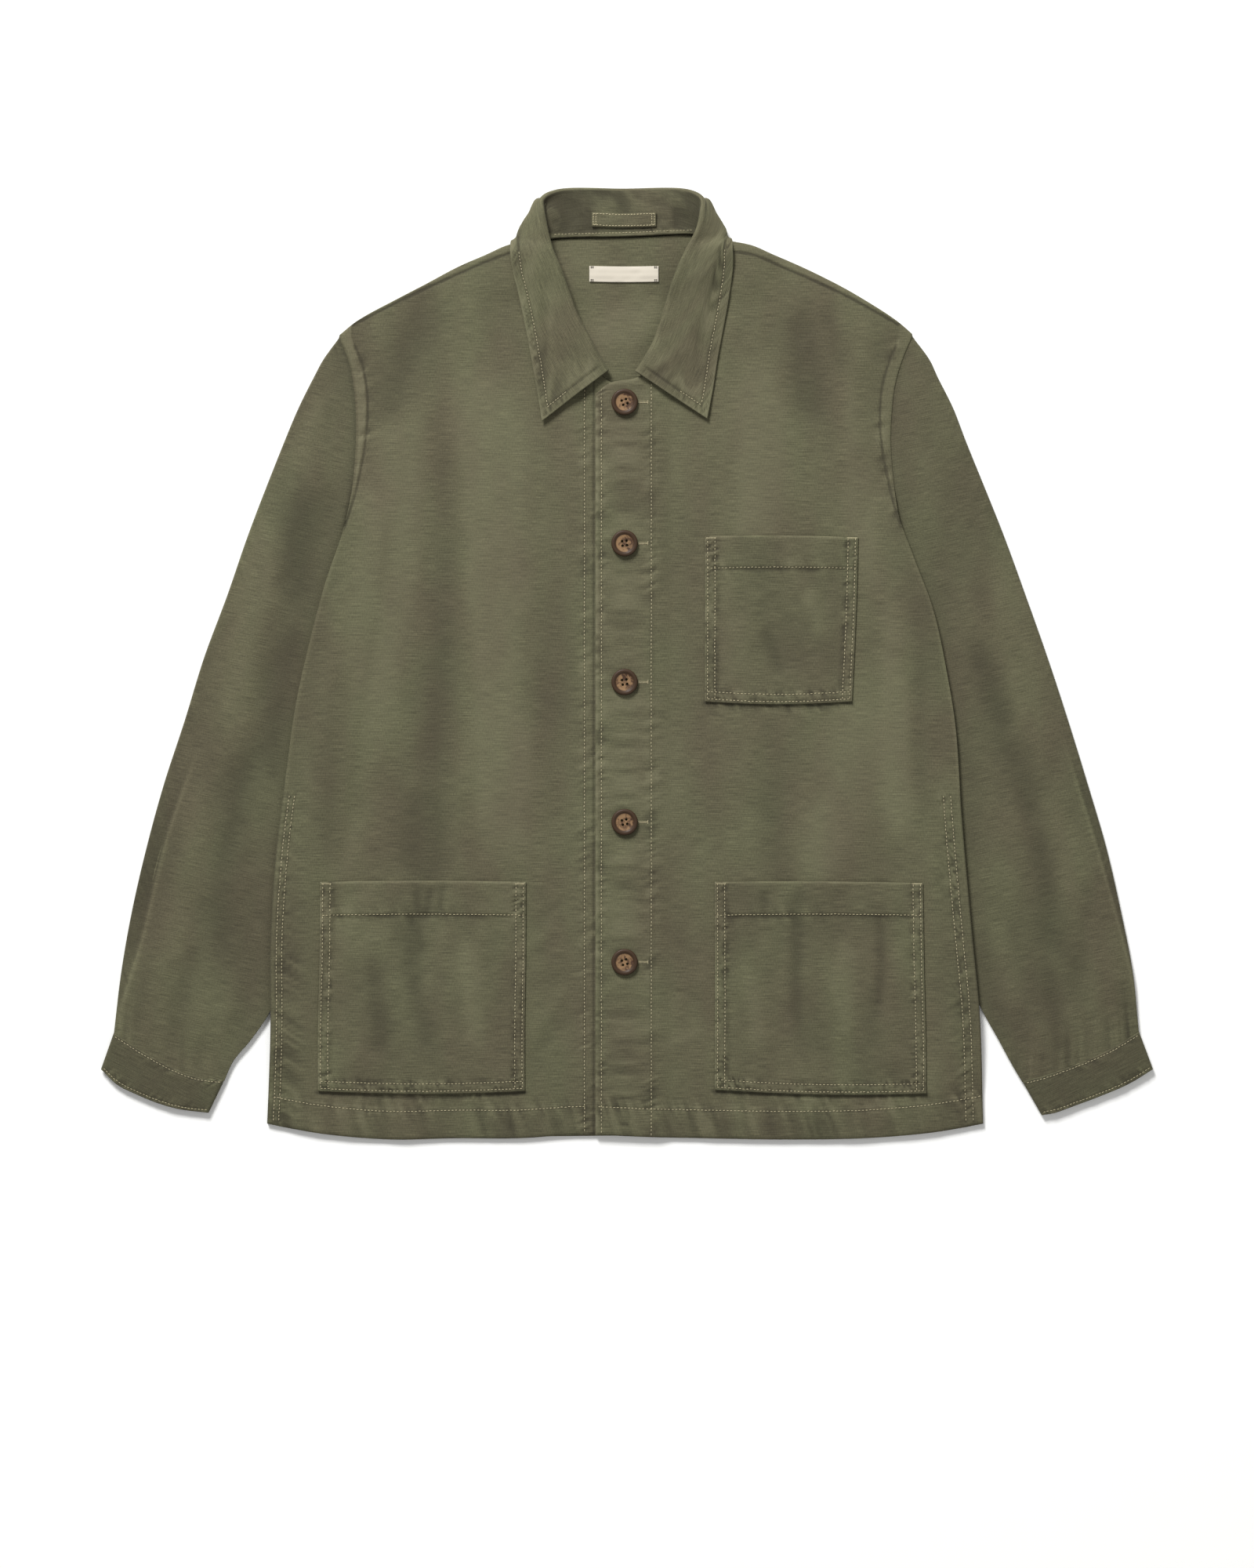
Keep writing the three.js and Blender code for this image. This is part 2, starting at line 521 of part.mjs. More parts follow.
// ---------------------------------------------------------------- collar
// A row for each section, from the front end round to the middle of the back:
// roll line, outer bend, free edge and neck seam, each seen from above.
const COLLAR_PLAN = {
  right: [
    { roll: [-15, 241], bend: [-43, 220], edge: [-70, 199], seam: [-20, 237] },
    { roll: [-23, 253], bend: [-50, 238], edge: [-74, 224], seam: [-31, 246] },
    { roll: [-32, 270], bend: [-58, 262], edge: [-79, 252], seam: [-44, 260] },
    { roll: [-41, 287], bend: [-66, 284], edge: [-84, 279], seam: [-56, 277] },
    { roll: [-48, 306], bend: [-73, 305], edge: [-89, 302], seam: [-65, 297] },
    { roll: [-55, 325], bend: [-80, 326], edge: [-94, 323], seam: [-74, 318] },
    { roll: [-61.5, 341], bend: [-87, 343.5], edge: [-97.5, 344.5], seam: [-83, 339] },
    { roll: [-64, 348.5], bend: [-91, 350.5], edge: [-99, 350], seam: [-77, 346.5] },
    { roll: [-66.5, 357], bend: [-88, 358], edge: [-89, 338], seam: [-73.5, 347] },
    { roll: [-70, 371], bend: [-79.5, 371], edge: [-78, 337], seam: [-69.5, 348] },
    { roll: [-70, 383.5], bend: [-71.5, 382.5], edge: [-67, 335], seam: [-64, 349] },
    { roll: [-60, 389.6], bend: [-59, 372], edge: [-54, 333], seam: [-51, 350] },
  ],
  left: [
    { roll: [7, 240], bend: [37, 220], edge: [66, 201], seam: [11, 236] },
    { roll: [13, 249], bend: [42, 238], edge: [71, 227], seam: [21, 243] },
    { roll: [20, 261], bend: [50, 258], edge: [75, 253], seam: [33, 255] },
    { roll: [27, 279], bend: [56, 280], edge: [80, 279], seam: [45, 272] },
    { roll: [33, 299], bend: [62, 302], edge: [84, 302], seam: [55, 292] },
    { roll: [40, 320], bend: [70, 325], edge: [87, 324], seam: [65, 314] },
    { roll: [49.5, 341], bend: [78, 344], edge: [89.5, 345.5], seam: [76.5, 339] },
    { roll: [54, 348.5], bend: [83, 351.5], edge: [91.5, 351], seam: [71, 347.5] },
    { roll: [58.5, 357], bend: [80, 358], edge: [82, 338], seam: [67.5, 349] },
    { roll: [62.5, 370], bend: [72, 371], edge: [71, 337], seam: [64, 351] },
    { roll: [63, 383], bend: [64.5, 382.5], edge: [60, 335], seam: [57, 352.5] },
    { roll: [53, 389.6], bend: [52, 372], edge: [48, 333], seam: [44, 353] },
  ],
};
const SEAM_CLEAR = 1.4; // stand over the neckline
const STAND_GAP = 0.5; // stand to the rolled end of the leaf, along the cloth
const STAND_STRAIGHT = 3; // the stand runs on in the leaf's direction this far
const COLLAR_MIDDLE = { roll: [-3, 390.2], bend: [-3, 372], edge: [-3, 333], seam: [-3, 351] };

// Heights of the same sections: roll centre, turn of the roll (180 leans into the
// neck, 90 stands, 0 leans out), bend, under the bend, and free edge. The first
// rows are measured from the front they lie on, the others from the floor.
const ON_FRONT_ROWS = 7;
const COLLAR_RISE = [
  { roll: 4.3, turn: 180, bend: 4.4, under: 2.9, edge: 2.3 },
  { roll: 4.4, turn: 180, bend: 4.8, under: 3.2, edge: 2.3 },
  { roll: 5.2, turn: 175, bend: 5.4, under: 3.4, edge: 2.3 },
  { roll: 6.0, turn: 168, bend: 5.8, under: 3.6, edge: 2.3 },
  { roll: 6.8, turn: 158, bend: 6.2, under: 3.8, edge: 2.4 },
  { roll: 7.4, turn: 155, bend: 6.6, under: 4.4, edge: 2.6 },
  { roll: 7.6, turn: 148, bend: 6.0, under: 4.6, edge: 3.4 },
  { roll: 13, turn: 135, bend: 6.4, under: 3.8, edge: 1.4 },
  { roll: 13.2, turn: 115, bend: 4.4, under: 0.8, edge: FLOOR_MID },
  { roll: 12, turn: 85, bend: 4.2, under: 0.8, edge: FLOOR_MID },
  { roll: 8, turn: 45, bend: 2.8, under: 0.8, edge: FLOOR_MID },
  { roll: 4, turn: 10, bend: 0.8, under: FLOOR_MID, edge: FLOOR_MID },
];
const COLLAR_MIDDLE_RISE = { roll: 2.8, turn: 0, bend: FLOOR_MID, under: FLOOR_MID, edge: FLOOR_MID };

/** All sections from the right front end to the left one. */
function collarSections() {
  const half = (side) => COLLAR_PLAN[side].map((plan, k) => {
    const front = k < ON_FRONT_ROWS;
    return { plan, rise: COLLAR_RISE[k], front, side };
  });
  const middle = { plan: COLLAR_MIDDLE, rise: COLLAR_MIDDLE_RISE, front: false, side: 'right' };
  return [...half('right'), middle, ...half('left').reverse()];
}

/** Middle points of the stand and of the leaf in each section. */
function collarLines() {
  const sections = collarSections();
  const rollLine = sections.map(({ plan }) => plan.roll);
  const stand = [];
  const leaf = [];
  sections.forEach(({ plan, rise, front, side }, k) => {
    const panel = side === 'right' ? frontMid : lapMid;
    const base = ([x, y]) => (front ? panel(x, y) : 0);
    const [hx, hy] = leftOf(rollLine, k);
    const turn = THREE.MathUtils.degToRad(rise.turn);
    const height = base(plan.seam) + rise.roll;
    const around = (angle) => {
      const [flat, up] = [Math.cos(turn + angle), Math.sin(turn + angle)];
      const reach = ROLL_RADIUS * (flat - Math.cos(turn));
      return [plan.roll[0] + hx * reach, plan.roll[1] + hy * reach, height + ROLL_RADIUS * up];
    };
    const quarter = Math.PI / 2;
    const roll = [quarter, quarter / 2, 0, -quarter / 2, -quarter].map(around);
    const seamZ = (front ? panel(...plan.seam) : backMid(...plan.seam)) + LAYER + SEAM_CLEAR;
    const bend = [...plan.bend, base(plan.bend) + rise.bend];
    const edge = [...plan.edge, base(plan.edge) + rise.edge];
    const under = [mix(bend[0], edge[0], 0.35), mix(bend[1], edge[1], 0.35)];
    under.push(base(under) + rise.under);
    const between = (a, b, t) => a.map((value, c) => mix(value, b[c], t));
    leaf.push([...roll, between(roll[4], bend, 0.5), bend, under, between(under, edge, 0.5), edge]);
    const seam = [...plan.seam, seamZ];
    const onwards = (distance) => [roll[0][0] - hx * Math.cos(turn) * distance,
      roll[0][1] - hy * Math.cos(turn) * distance, roll[0][2] - Math.sin(turn) * distance];
    const lower = onwards(STAND_STRAIGHT);
    stand.push([onwards(STAND_GAP), lower, between(lower, seam, 0.5), seam]);
  });
  return { stand, leaf };
}

const { stand: standMiddle, leaf: leafMiddle } = collarLines();
const stand = cloth(standMiddle);
add('collar', cloth(leafMiddle), CLOTH);
add('collar_stand', stand, CLOTH);

// ---------------------------------------------------------------- small pieces
const LOOP = [[-29, 360], [24, 360], [24, 371], [-29, 371]]; // hanger loop on the stand
const LABEL = [[-31, 314], [26, 314], [26, 327], [-31, 327]]; // bare label inside the neck
const LABEL_TRIM = 0.5; // the label is this much thinner than the cloth

add('hanger_loop', fromSolid(onPanel(stand, LOOP, LAYER)), CLOTH);
const labelBase = jacket.getObjectByName('back').geometry;
add('neck_label', fromSolid(onPanel(labelBase, LABEL, LAYER)
  .intersect(onPanel(labelBase, LABEL, LAYER - LABEL_TRIM))), WOVEN);

// Section of a button, [radius, height]: flat below, raised rim, dished middle.
const BUTTON_SECTION = [[0, 0], [BUTTON_RADIUS - 2, 0], [BUTTON_RADIUS, 1.6], [BUTTON_RADIUS - 0.8, 3.2],
  [BUTTON_RADIUS - 2.6, 3.3], [BUTTON_RADIUS - 4.4, 2.3], [0, 2.1]];
const BUTTON_SIDES = 20;
const HOLE_RADIUS = 0.9;
const HOLE_SIDES = 6;
const HOLE_OFFSET = 1.7; // of each of the four holes, along X and along Y
const HOLE_DEPTH = 10; // right through

/** Four-hole button with a raised rim and a dished middle. */
function makeButton() {
  const profile = BUTTON_SECTION.map(([radius, height]) => new THREE.Vector2(radius, height));
  const lathe = new THREE.LatheGeometry(profile, BUTTON_SIDES);
  lathe.rotateX(Math.PI / 2);
  let button = solid(lathe);
  for (const x of [-HOLE_OFFSET, HOLE_OFFSET]) {
    for (const y of [-HOLE_OFFSET, HOLE_OFFSET]) {
      const hole = new THREE.CylinderGeometry(HOLE_RADIUS, HOLE_RADIUS, HOLE_DEPTH, HOLE_SIDES);
      hole.rotateX(Math.PI / 2);
      button = button.subtract(solid(hole.translate(x, y, 0)));
    }
  }
  return fromSolid(button);
}

BUTTON_YS.forEach((y, k) => {
  const button = add(`button_${k + 1}`, makeButton(), HORN);
  button.position.set(BUTTON_X, y, lapMid(BUTTON_X, y) + WALL / 2 + TURNED + SEAM);
});

export default jacket;
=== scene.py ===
import logging
import math
from collections.abc import Sequence
from dataclasses import dataclass, field
from enum import Enum

import bmesh
import bpy
import numpy as np
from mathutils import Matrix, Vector
from mathutils.bvhtree import BVHTree


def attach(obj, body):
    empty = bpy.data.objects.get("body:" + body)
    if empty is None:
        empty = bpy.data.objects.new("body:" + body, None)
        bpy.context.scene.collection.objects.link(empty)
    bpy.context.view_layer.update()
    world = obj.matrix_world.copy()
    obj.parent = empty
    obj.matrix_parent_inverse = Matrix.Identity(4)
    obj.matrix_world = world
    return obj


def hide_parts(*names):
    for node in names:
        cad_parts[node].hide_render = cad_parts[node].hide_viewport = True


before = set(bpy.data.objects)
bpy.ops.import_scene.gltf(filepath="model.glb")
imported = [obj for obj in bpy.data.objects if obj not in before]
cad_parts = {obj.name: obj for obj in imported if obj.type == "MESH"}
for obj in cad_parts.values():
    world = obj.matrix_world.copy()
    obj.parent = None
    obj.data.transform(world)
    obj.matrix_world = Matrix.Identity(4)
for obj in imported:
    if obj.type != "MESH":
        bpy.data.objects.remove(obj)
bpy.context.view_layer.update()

log = logging.getLogger("jacket")

# All sizes below are millimetres unless a name says otherwise; meshes are made in metres.
MM = 0.001
Array = np.ndarray
Points = Sequence[Sequence[float]]
Pair = tuple[float, float]
Piece = bpy.types.Object
Tree = bpy.types.NodeTree
Socket = bpy.types.NodeSocket


# ---- numbers and lines
def smooth(t: Array) -> Array:
    """Soft step from 0 to 1."""
    t = np.clip(t, 0.0, 1.0)
    return t * t * (3.0 - 2.0 * t)


def mix(a: Array, b: Array, t: Array) -> Array:
    """Value between a and b at t."""
    return a + (b - a) * t


def bell(distance: Array, width: float) -> Array:
    """Rounded bump of height 1 that fades over the width."""
    return np.exp(-((distance / width) ** 2))


def through(points: Array, at: Array) -> Array:
    """Centripetal Catmull-Rom line through points.

    Args:
        points: N rows, each a point or a whole row of points.
        at: Places on the line, 0 at the first point and N - 1 at the last.

    Returns:
        One point, or one row of points, for each place.
    """
    points = np.asarray(points, float)
    ends = [2 * points[:1] - points[1:2], points, 2 * points[-1:] - points[-2:-1]]
    padded = np.concatenate(ends)
    span = np.clip(np.floor(at).astype(int), 0, len(points) - 2)
    p = [padded[span + k] for k in range(4)]
    knots = [np.zeros(p[0].shape[:-1] + (1,))]
    for k in range(3):
        gap = np.linalg.norm(p[k + 1] - p[k], axis=-1, keepdims=True)
        knots.append(knots[-1] + np.sqrt(np.maximum(gap, 1e-6)))
    part = (at - span).reshape((-1,) + (1,) * (points.ndim - 1))
    t = mix(knots[1], knots[2], part)

    def blend(a: Array, b: Array, i: int, j: int) -> Array:
        """Straight blend between two knots."""
        return (knots[j] - t) / (knots[j] - knots[i]) * a + (t - knots[i]) / (knots[j] - knots[i]) * b

    low = [blend(p[k], p[k + 1], k, k + 1) for k in range(3)]
    mid = [blend(low[k], low[k + 1], k, k + 2) for k in range(2)]
    return blend(mid[0], mid[1], 1, 2)


@dataclass(frozen=True)
class Line:
    """Smooth line through a few points, measured by its length."""

    points: Points

    @property
    def dense(self) -> Array:
        """Many points along the line."""
        count = len(self.points)
        return through(np.array(self.points, float), np.linspace(0, count - 1, (count - 1) * 24 + 1))

    def at(self, share: Array) -> Array:
        """Points at shares 0 to 1 of the length.

        Args:
            share: Shares of the length.

        Returns:
            Their points.
        """
        dense = self.dense
        run = running(np.linalg.norm(np.diff(dense, axis=0), axis=1))
        return np.stack([np.interp(share * run[-1], run, dense[:, c]) for c in range(dense.shape[1])], -1)

    def x_at(self, y: Array) -> Array:
        """x where a line that runs down reaches y."""
        dense = self.dense[::-1]
        return np.interp(y, dense[:, 1], dense[:, 0])

    def y_at(self, x: Array) -> Array:
        """y where a line that runs across reaches x."""
        dense = self.dense[np.argsort(self.dense[:, 0])]
        return np.interp(x, dense[:, 0], dense[:, 1])

    def nearest(self, x: Array, y: Array) -> tuple[Array, Array]:
        """Distance from the line and place along it.

        Args:
            x: Places, any shape.
            y: The same shape.

        Returns:
            Distance, positive on the left of the line's direction, and length from its start.
        """
        line = np.array(self.points, float)
        if len(self.points) > 2:
            line = self.at(np.linspace(0, 1, 4 * len(self.points) - 3))
        best = np.full(np.shape(x), 1e9)
        signed, along = best.copy(), np.zeros(np.shape(x))
        run = 0.0
        for a, b in zip(line[:-1], line[1:]):
            dx, dy = b - a
            size = math.hypot(dx, dy)
            t = np.clip(((x - a[0]) * dx + (y - a[1]) * dy) / size**2, 0, 1)
            gap = np.hypot(x - a[0] - t * dx, y - a[1] - t * dy)
            side = np.sign(dx * (y - a[1]) - dy * (x - a[0]))
            closer = gap < best
            best = np.where(closer, gap, best)
            signed = np.where(closer, gap * side, signed)
            along = np.where(closer, run + t * size, along)
            run += size
        return signed, along


def running(steps: Array) -> Array:
    """Length run so far, from 0."""
    return np.concatenate([[0], np.cumsum(steps)])


def graded(length: float, fine: float, coarse: float, zones: Sequence[Pair]) -> Array:
    """Places along a length, closer together in some zones.

    Args:
        length: Whole length.
        fine: Step inside the zones.
        coarse: Step elsewhere.
        zones: Middle and half width of each zone.

    Returns:
        Shares from 0 to 1, with a few extra ones for the rounding at both ends.
    """
    s = np.linspace(0, length, 4000)
    near = np.zeros_like(s)
    for middle, half in zones:
        near = np.maximum(near, 1 - smooth((np.abs(s - middle) - half) / (half + 4)))
    run = running(np.diff(s) / mix(coarse, fine, near)[1:])
    steps = np.interp(np.linspace(0, run[-1], math.ceil(run[-1]) + 1), run, s)
    ends = [0.12, 0.4, 0.8]
    steps = steps[(steps > 1.2) & (steps < length - 1.2)]
    return np.concatenate([[0], ends, steps, [length - e for e in ends[::-1]], [length]]) / length


def noise(x: Array, y: Array, size: Pair, seed: int, turn: float = 0.0) -> Array:
    """Smooth seeded noise between about -1 and 1.

    Args:
        x: Places, any shape.
        y: The same shape.
        size: Length of the bumps along x and y.
        seed: Picks the pattern.
        turn: Angle of the pattern in degrees.

    Returns:
        A value for each place.
    """
    table = np.random.default_rng(seed).uniform(-1, 1, (64, 64))
    cos, sin = math.cos(math.radians(turn)), math.sin(math.radians(turn))
    u, v = (cos * x + sin * y) / size[0], (cos * y - sin * x) / size[1]
    i, j = np.floor(u).astype(int), np.floor(v).astype(int)
    f, g = u - i, v - j
    f, g = [t**3 * (t * (6 * t - 15) + 10) for t in (f, g)]

    def pick(a: int, b: int) -> Array:
        """Table value at one corner of each cell."""
        return table[(i + a) % 64, (j + b) % 64]

    return mix(mix(pick(0, 0), pick(1, 0), f), mix(pick(0, 1), pick(1, 1), f), g) * 1.3


def ripple(s: Array, pitch: float, seed: int) -> Array:
    """Uneven bumps along a seam, about one for each pitch.

    Args:
        s: Places along the seam.
        pitch: From one bump to the next.
        seed: Picks the pattern.

    Returns:
        Heights, mostly between -1 and 1.
    """
    row = s * 0.013
    bumps = noise(s, row, (pitch * 0.42, 1), seed) + 0.45 * noise(s, row, (pitch * 0.2, 1), seed + 3)
    return bumps * (1.1 + 0.7 * noise(s, s * 0, (pitch * 3, 1), seed + 7))


def placed(name: str, data: bpy.types.ID) -> Piece:
    """Makes an object and puts it in the scene.

    Args:
        name: Name of the object.
        data: Its mesh, light or camera.

    Returns:
        The object.
    """
    made = bpy.data.objects.new(name, data)
    bpy.context.scene.collection.objects.link(made)
    return made


class MeshPlan:
    """Gathers points and faces, then makes one object of them."""

    def __init__(self) -> None:
        """Starts empty."""
        self.points: list[Array] = []
        self.pattern: list[Array] = []
        self.worn: list[Array] = []
        self.quads: list[Array] = []
        self.threes: list[Array] = []
        self.count = 0

    def add(self, points: Array, pattern: Array | None = None, worn: Array | None = None) -> Array:
        """Adds points and gives their numbers.

        Args:
            points: Any shape, with x, y, z last.
            pattern: Place of each point on the cloth before sewing, u and v.
            worn: Rubbing and painted highlight (+1) to painted shade (-1) at each point.

        Returns:
            Numbers in the shape of the points.
        """
        shape = points.shape[:-1]
        size = int(np.prod(shape))
        flat = points.reshape(-1, 3)
        self.points.append(flat)
        self.pattern.append(flat[:, :2] if pattern is None else pattern.reshape(-1, 2))
        self.worn.append(np.zeros(size) if worn is None else worn.reshape(-1))
        numbers = np.arange(self.count, self.count + size).reshape(shape)
        self.count += size
        return numbers

    def skin(self, numbers: Array) -> None:
        """Covers a grid of point numbers with four-sided faces."""
        a, b, c, d = numbers[:-1, :-1], numbers[:-1, 1:], numbers[1:, 1:], numbers[1:, :-1]
        self.quads.append(np.stack([a, b, c, d], -1).reshape(-1, 4))

    def zip(self, first: Array, second: Array) -> None:
        """Joins two rows with different counts of points by triangles.

        Args:
            first: Numbers of the points in one row.
            second: The same for the other row.
        """
        i = j = 0
        n, m = len(first) - 1, len(second) - 1
        faces = []
        while i < n or j < m:
            if j == m or (i < n and (i + 1) * m <= (j + 1) * n):
                faces.append((first[i], first[i + 1], second[j]))
                i += 1
            else:
                faces.append((first[i], second[j + 1], second[j]))
                j += 1
        self.threes.append(np.array(faces))

    def make(self, name: str) -> Piece:
        """Makes the object, with its cloth pattern as a map and its rubbing and painted shading as an
        attribute.

        Args:
            name: Name of the object.

        Returns:
            The object.
        """
        corners = [f.reshape(-1) for f in self.quads + self.threes if len(f)]
        sizes = np.concatenate([np.full(len(f), f.shape[1]) for f in self.quads + self.threes if len(f)])
        corners = np.concatenate(corners)
        mesh = bpy.data.meshes.new(name)
        mesh.vertices.add(self.count)
        mesh.vertices.foreach_set("co", (np.concatenate(self.points) * MM).astype(np.float32).ravel())
        mesh.loops.add(len(corners))
        mesh.loops.foreach_set("vertex_index", corners.astype(np.int32))
        mesh.polygons.add(len(sizes))
        mesh.polygons.foreach_set("loop_start", np.concatenate([[0], np.cumsum(sizes)[:-1]]).astype(np.int32))
        mesh.update(calc_edges=True)
        mesh.polygons.foreach_set("use_smooth", np.ones(len(sizes), bool))
        mesh.validate()
        worn = mesh.attributes.new("worn", "FLOAT", "POINT")
        worn.data.foreach_set("value", np.concatenate(self.worn).astype(np.float32))
        grid = bmesh.new()
        grid.from_mesh(mesh)
        bmesh.ops.recalc_face_normals(grid, faces=grid.faces)
        grid.to_mesh(mesh)
        grid.free()
        layer = mesh.uv_layers.new(name="pattern")
        order = np.zeros(len(mesh.loops), np.int32)
        mesh.loops.foreach_get("vertex_index", order)
        layer.uv.foreach_set("vector", (np.concatenate(self.pattern) * MM)[order].astype(np.float32).ravel())
        return placed(name, mesh)


def measured(grid: Array) -> tuple[Array, Array]:
    """Length along each row and down each column of a grid of points.

    Args:
        grid: Rows of points, x, y, z last.

    Returns:
        Length from the start of each row, and from the start of each column.
    """
    across = np.linalg.norm(np.diff(grid, axis=1), axis=-1)
    down = np.linalg.norm(np.diff(grid, axis=0), axis=-1)
    zero_a, zero_d = np.zeros((grid.shape[0], 1)), np.zeros((1, grid.shape[1]))
    return (
        np.concatenate([zero_a, np.cumsum(across, axis=1)], 1),
        np.concatenate([zero_d, np.cumsum(down, axis=0)], 0),
    )


def normals(grid: Array) -> Array:
    """Unit normals of a grid of points, on the side that mostly faces up.

    Args:
        grid: Rows of points, x, y, z last.

    Returns:
        A normal for each point.
    """
    across = np.gradient(grid, axis=1)
    down = np.gradient(grid, axis=0)
    normal = np.cross(down, across)
    normal /= np.maximum(np.linalg.norm(normal, axis=-1, keepdims=True), 1e-9)
    return normal if normal[..., 2].mean() > 0 else -normal


@dataclass
class ClothShell:
    """Closed thin shell of cloth round a grid of middle points.

    The seen side has every detail; the far side, which lies on something,
    has one point in a few and no relief unless it is seen as well.
    """

    middle: Array
    wall: float
    relief: Array
    pattern_start: Pair = (0.0, 0.0)
    straight_grain: bool = False
    thin: int = 5
    worn: Array | None = None
    far_relief: Array | None = None
    turned: bool = False

    def make(self, name: str) -> Piece:
        """Makes the shell as an object.

        Args:
            name: Name of the piece.

        Returns:
            The object.
        """
        half = self.wall / 2
        normal = normals(self.middle) * (-1 if self.turned else 1)
        across, down = measured(self.middle)
        edge = np.minimum.reduce([across, across[:, -1:] - across, down, down[-1:] - down])
        rounded = half * np.sqrt(1 - (1 - np.clip(edge / half, 0, 1)) ** 2)
        ease = smooth(edge / 1.5)
        near = self.middle + normal * (rounded + self.relief * ease)[..., None]
        if self.straight_grain:
            pattern = self.middle[..., :2] + np.array(self.pattern_start)
        else:
            pattern = np.stack([across + self.pattern_start[0], self.pattern_start[1] - down], -1)
        plan = MeshPlan()
        top = plan.add(near, pattern, self.worn)
        plan.skin(top)
        rows = self.kept(down.mean(1), half)
        cols = self.kept(across.mean(0), half)
        pick = np.ix_(rows, cols)
        lift = 0 if self.far_relief is None else self.far_relief[pick][..., None]
        far = plan.add(self.middle[pick] - normal[pick] * half + normal[pick] * lift, pattern[pick])
        plan.skin(far)
        for outer, inner in (
            (top[0], far[0]),
            (top[-1], far[-1]),
            (top[:, 0], far[:, 0]),
            (top[:, -1], far[:, -1]),
        ):
            plan.zip(outer, inner)
        return plan.make(name)

    def kept(self, run: Array, half: float) -> Array:
        """Rows or columns of the far side: one in a few, starting inside the rounded edge."""
        inside = np.flatnonzero((run >= half * 0.6) & (run <= run[-1] - half * 0.6))
        return np.unique(np.concatenate([inside[:: self.thin], inside[-1:]]))


def polish(piece: Piece, finish: "Finish", slot: str, nodes: Sequence[str]) -> Piece:
    """Gives a piece its finish, hangs it on the root and hides the solids that it takes the place of.

    Args:
        piece: The piece.
        finish: Its finish.
        slot: Not used.
        nodes: Solids that it takes the place of.

    Returns:
        The piece.
    """
    piece.data.materials.clear()
    piece.data.materials.append(finish.material())
    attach(piece, "root")
    if nodes:
        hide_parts(*nodes)
    log.info("%s: %d faces", piece.name, len(piece.data.polygons))
    return piece


# ---- finishes
def linear(colour: str) -> tuple[float, float, float, float]:
    """Linear colour of an sRGB hex value.

    Args:
        colour: Hash sign and six digits.

    Returns:
        Red, green, blue and 1.
    """
    parts = [int(colour[k : k + 2], 16) / 255 for k in (1, 3, 5)]
    low = [c / 12.92 if c <= 0.04045 else ((c + 0.055) / 1.055) ** 2.4 for c in parts]
    return (*low, 1.0)


def node(tree: Tree, kind: str, settings: dict, links: dict) -> bpy.types.Node:
    """Adds a node with its settings and links.

    Args:
        tree: Node tree.
        kind: Blender's name of the node.
        settings: Values by property name or input name.
        links: Output sockets by input name or number.

    Returns:
        The node.
    """
    made = tree.nodes.new(kind)
    for name, value in settings.items():
        if hasattr(made, str(name)):
            setattr(made, name, value)
        else:
            made.inputs[name].default_value = value
    for name, socket in links.items():
        tree.links.new(socket, made.inputs[name])
    return made


@dataclass(frozen=True)
class Finish:
    """A material with its own node tree, made once."""

    name: str

    def material(self) -> bpy.types.Material:
        """The material, made the first time that it is asked for.

        Returns:
            The material.
        """
        found = bpy.data.materials.get(self.name)
        if found:
            return found
        made = bpy.data.materials.new(self.name)
        made.use_nodes = True
        made.node_tree.nodes.clear()
        surface = self.surface(made.node_tree)
        node(made.node_tree, "ShaderNodeOutputMaterial", {}, {"Surface": surface})
        return made

    def surface(self, tree: Tree) -> Socket:
        """Shader of the finish."""
        raise NotImplementedError

    def toned(self, tree: Tree, colour: str, marks: Socket, tones: Pair, spread: Pair = (0.0, 1.0)) -> Socket:
        """A colour made darker and lighter by a pattern.

        Args:
            tree: Node tree.
            colour: Colour in sRGB hex.
            marks: Value that varies over the surface.
            tones: Darkest and lightest brightness.
            spread: Values of the pattern that give them.

        Returns:
            The varied colour.
        """
        ends = {"From Min": spread[0], "From Max": spread[1], "To Min": tones[0], "To Max": tones[1]}
        level = node(tree, "ShaderNodeMapRange", ends, {"Value": marks})
        settings = {"operation": "SCALE", 0: linear(colour)[:3]}
        return node(tree, "ShaderNodeVectorMath", settings, {"Scale": level.outputs[0]}).outputs[0]


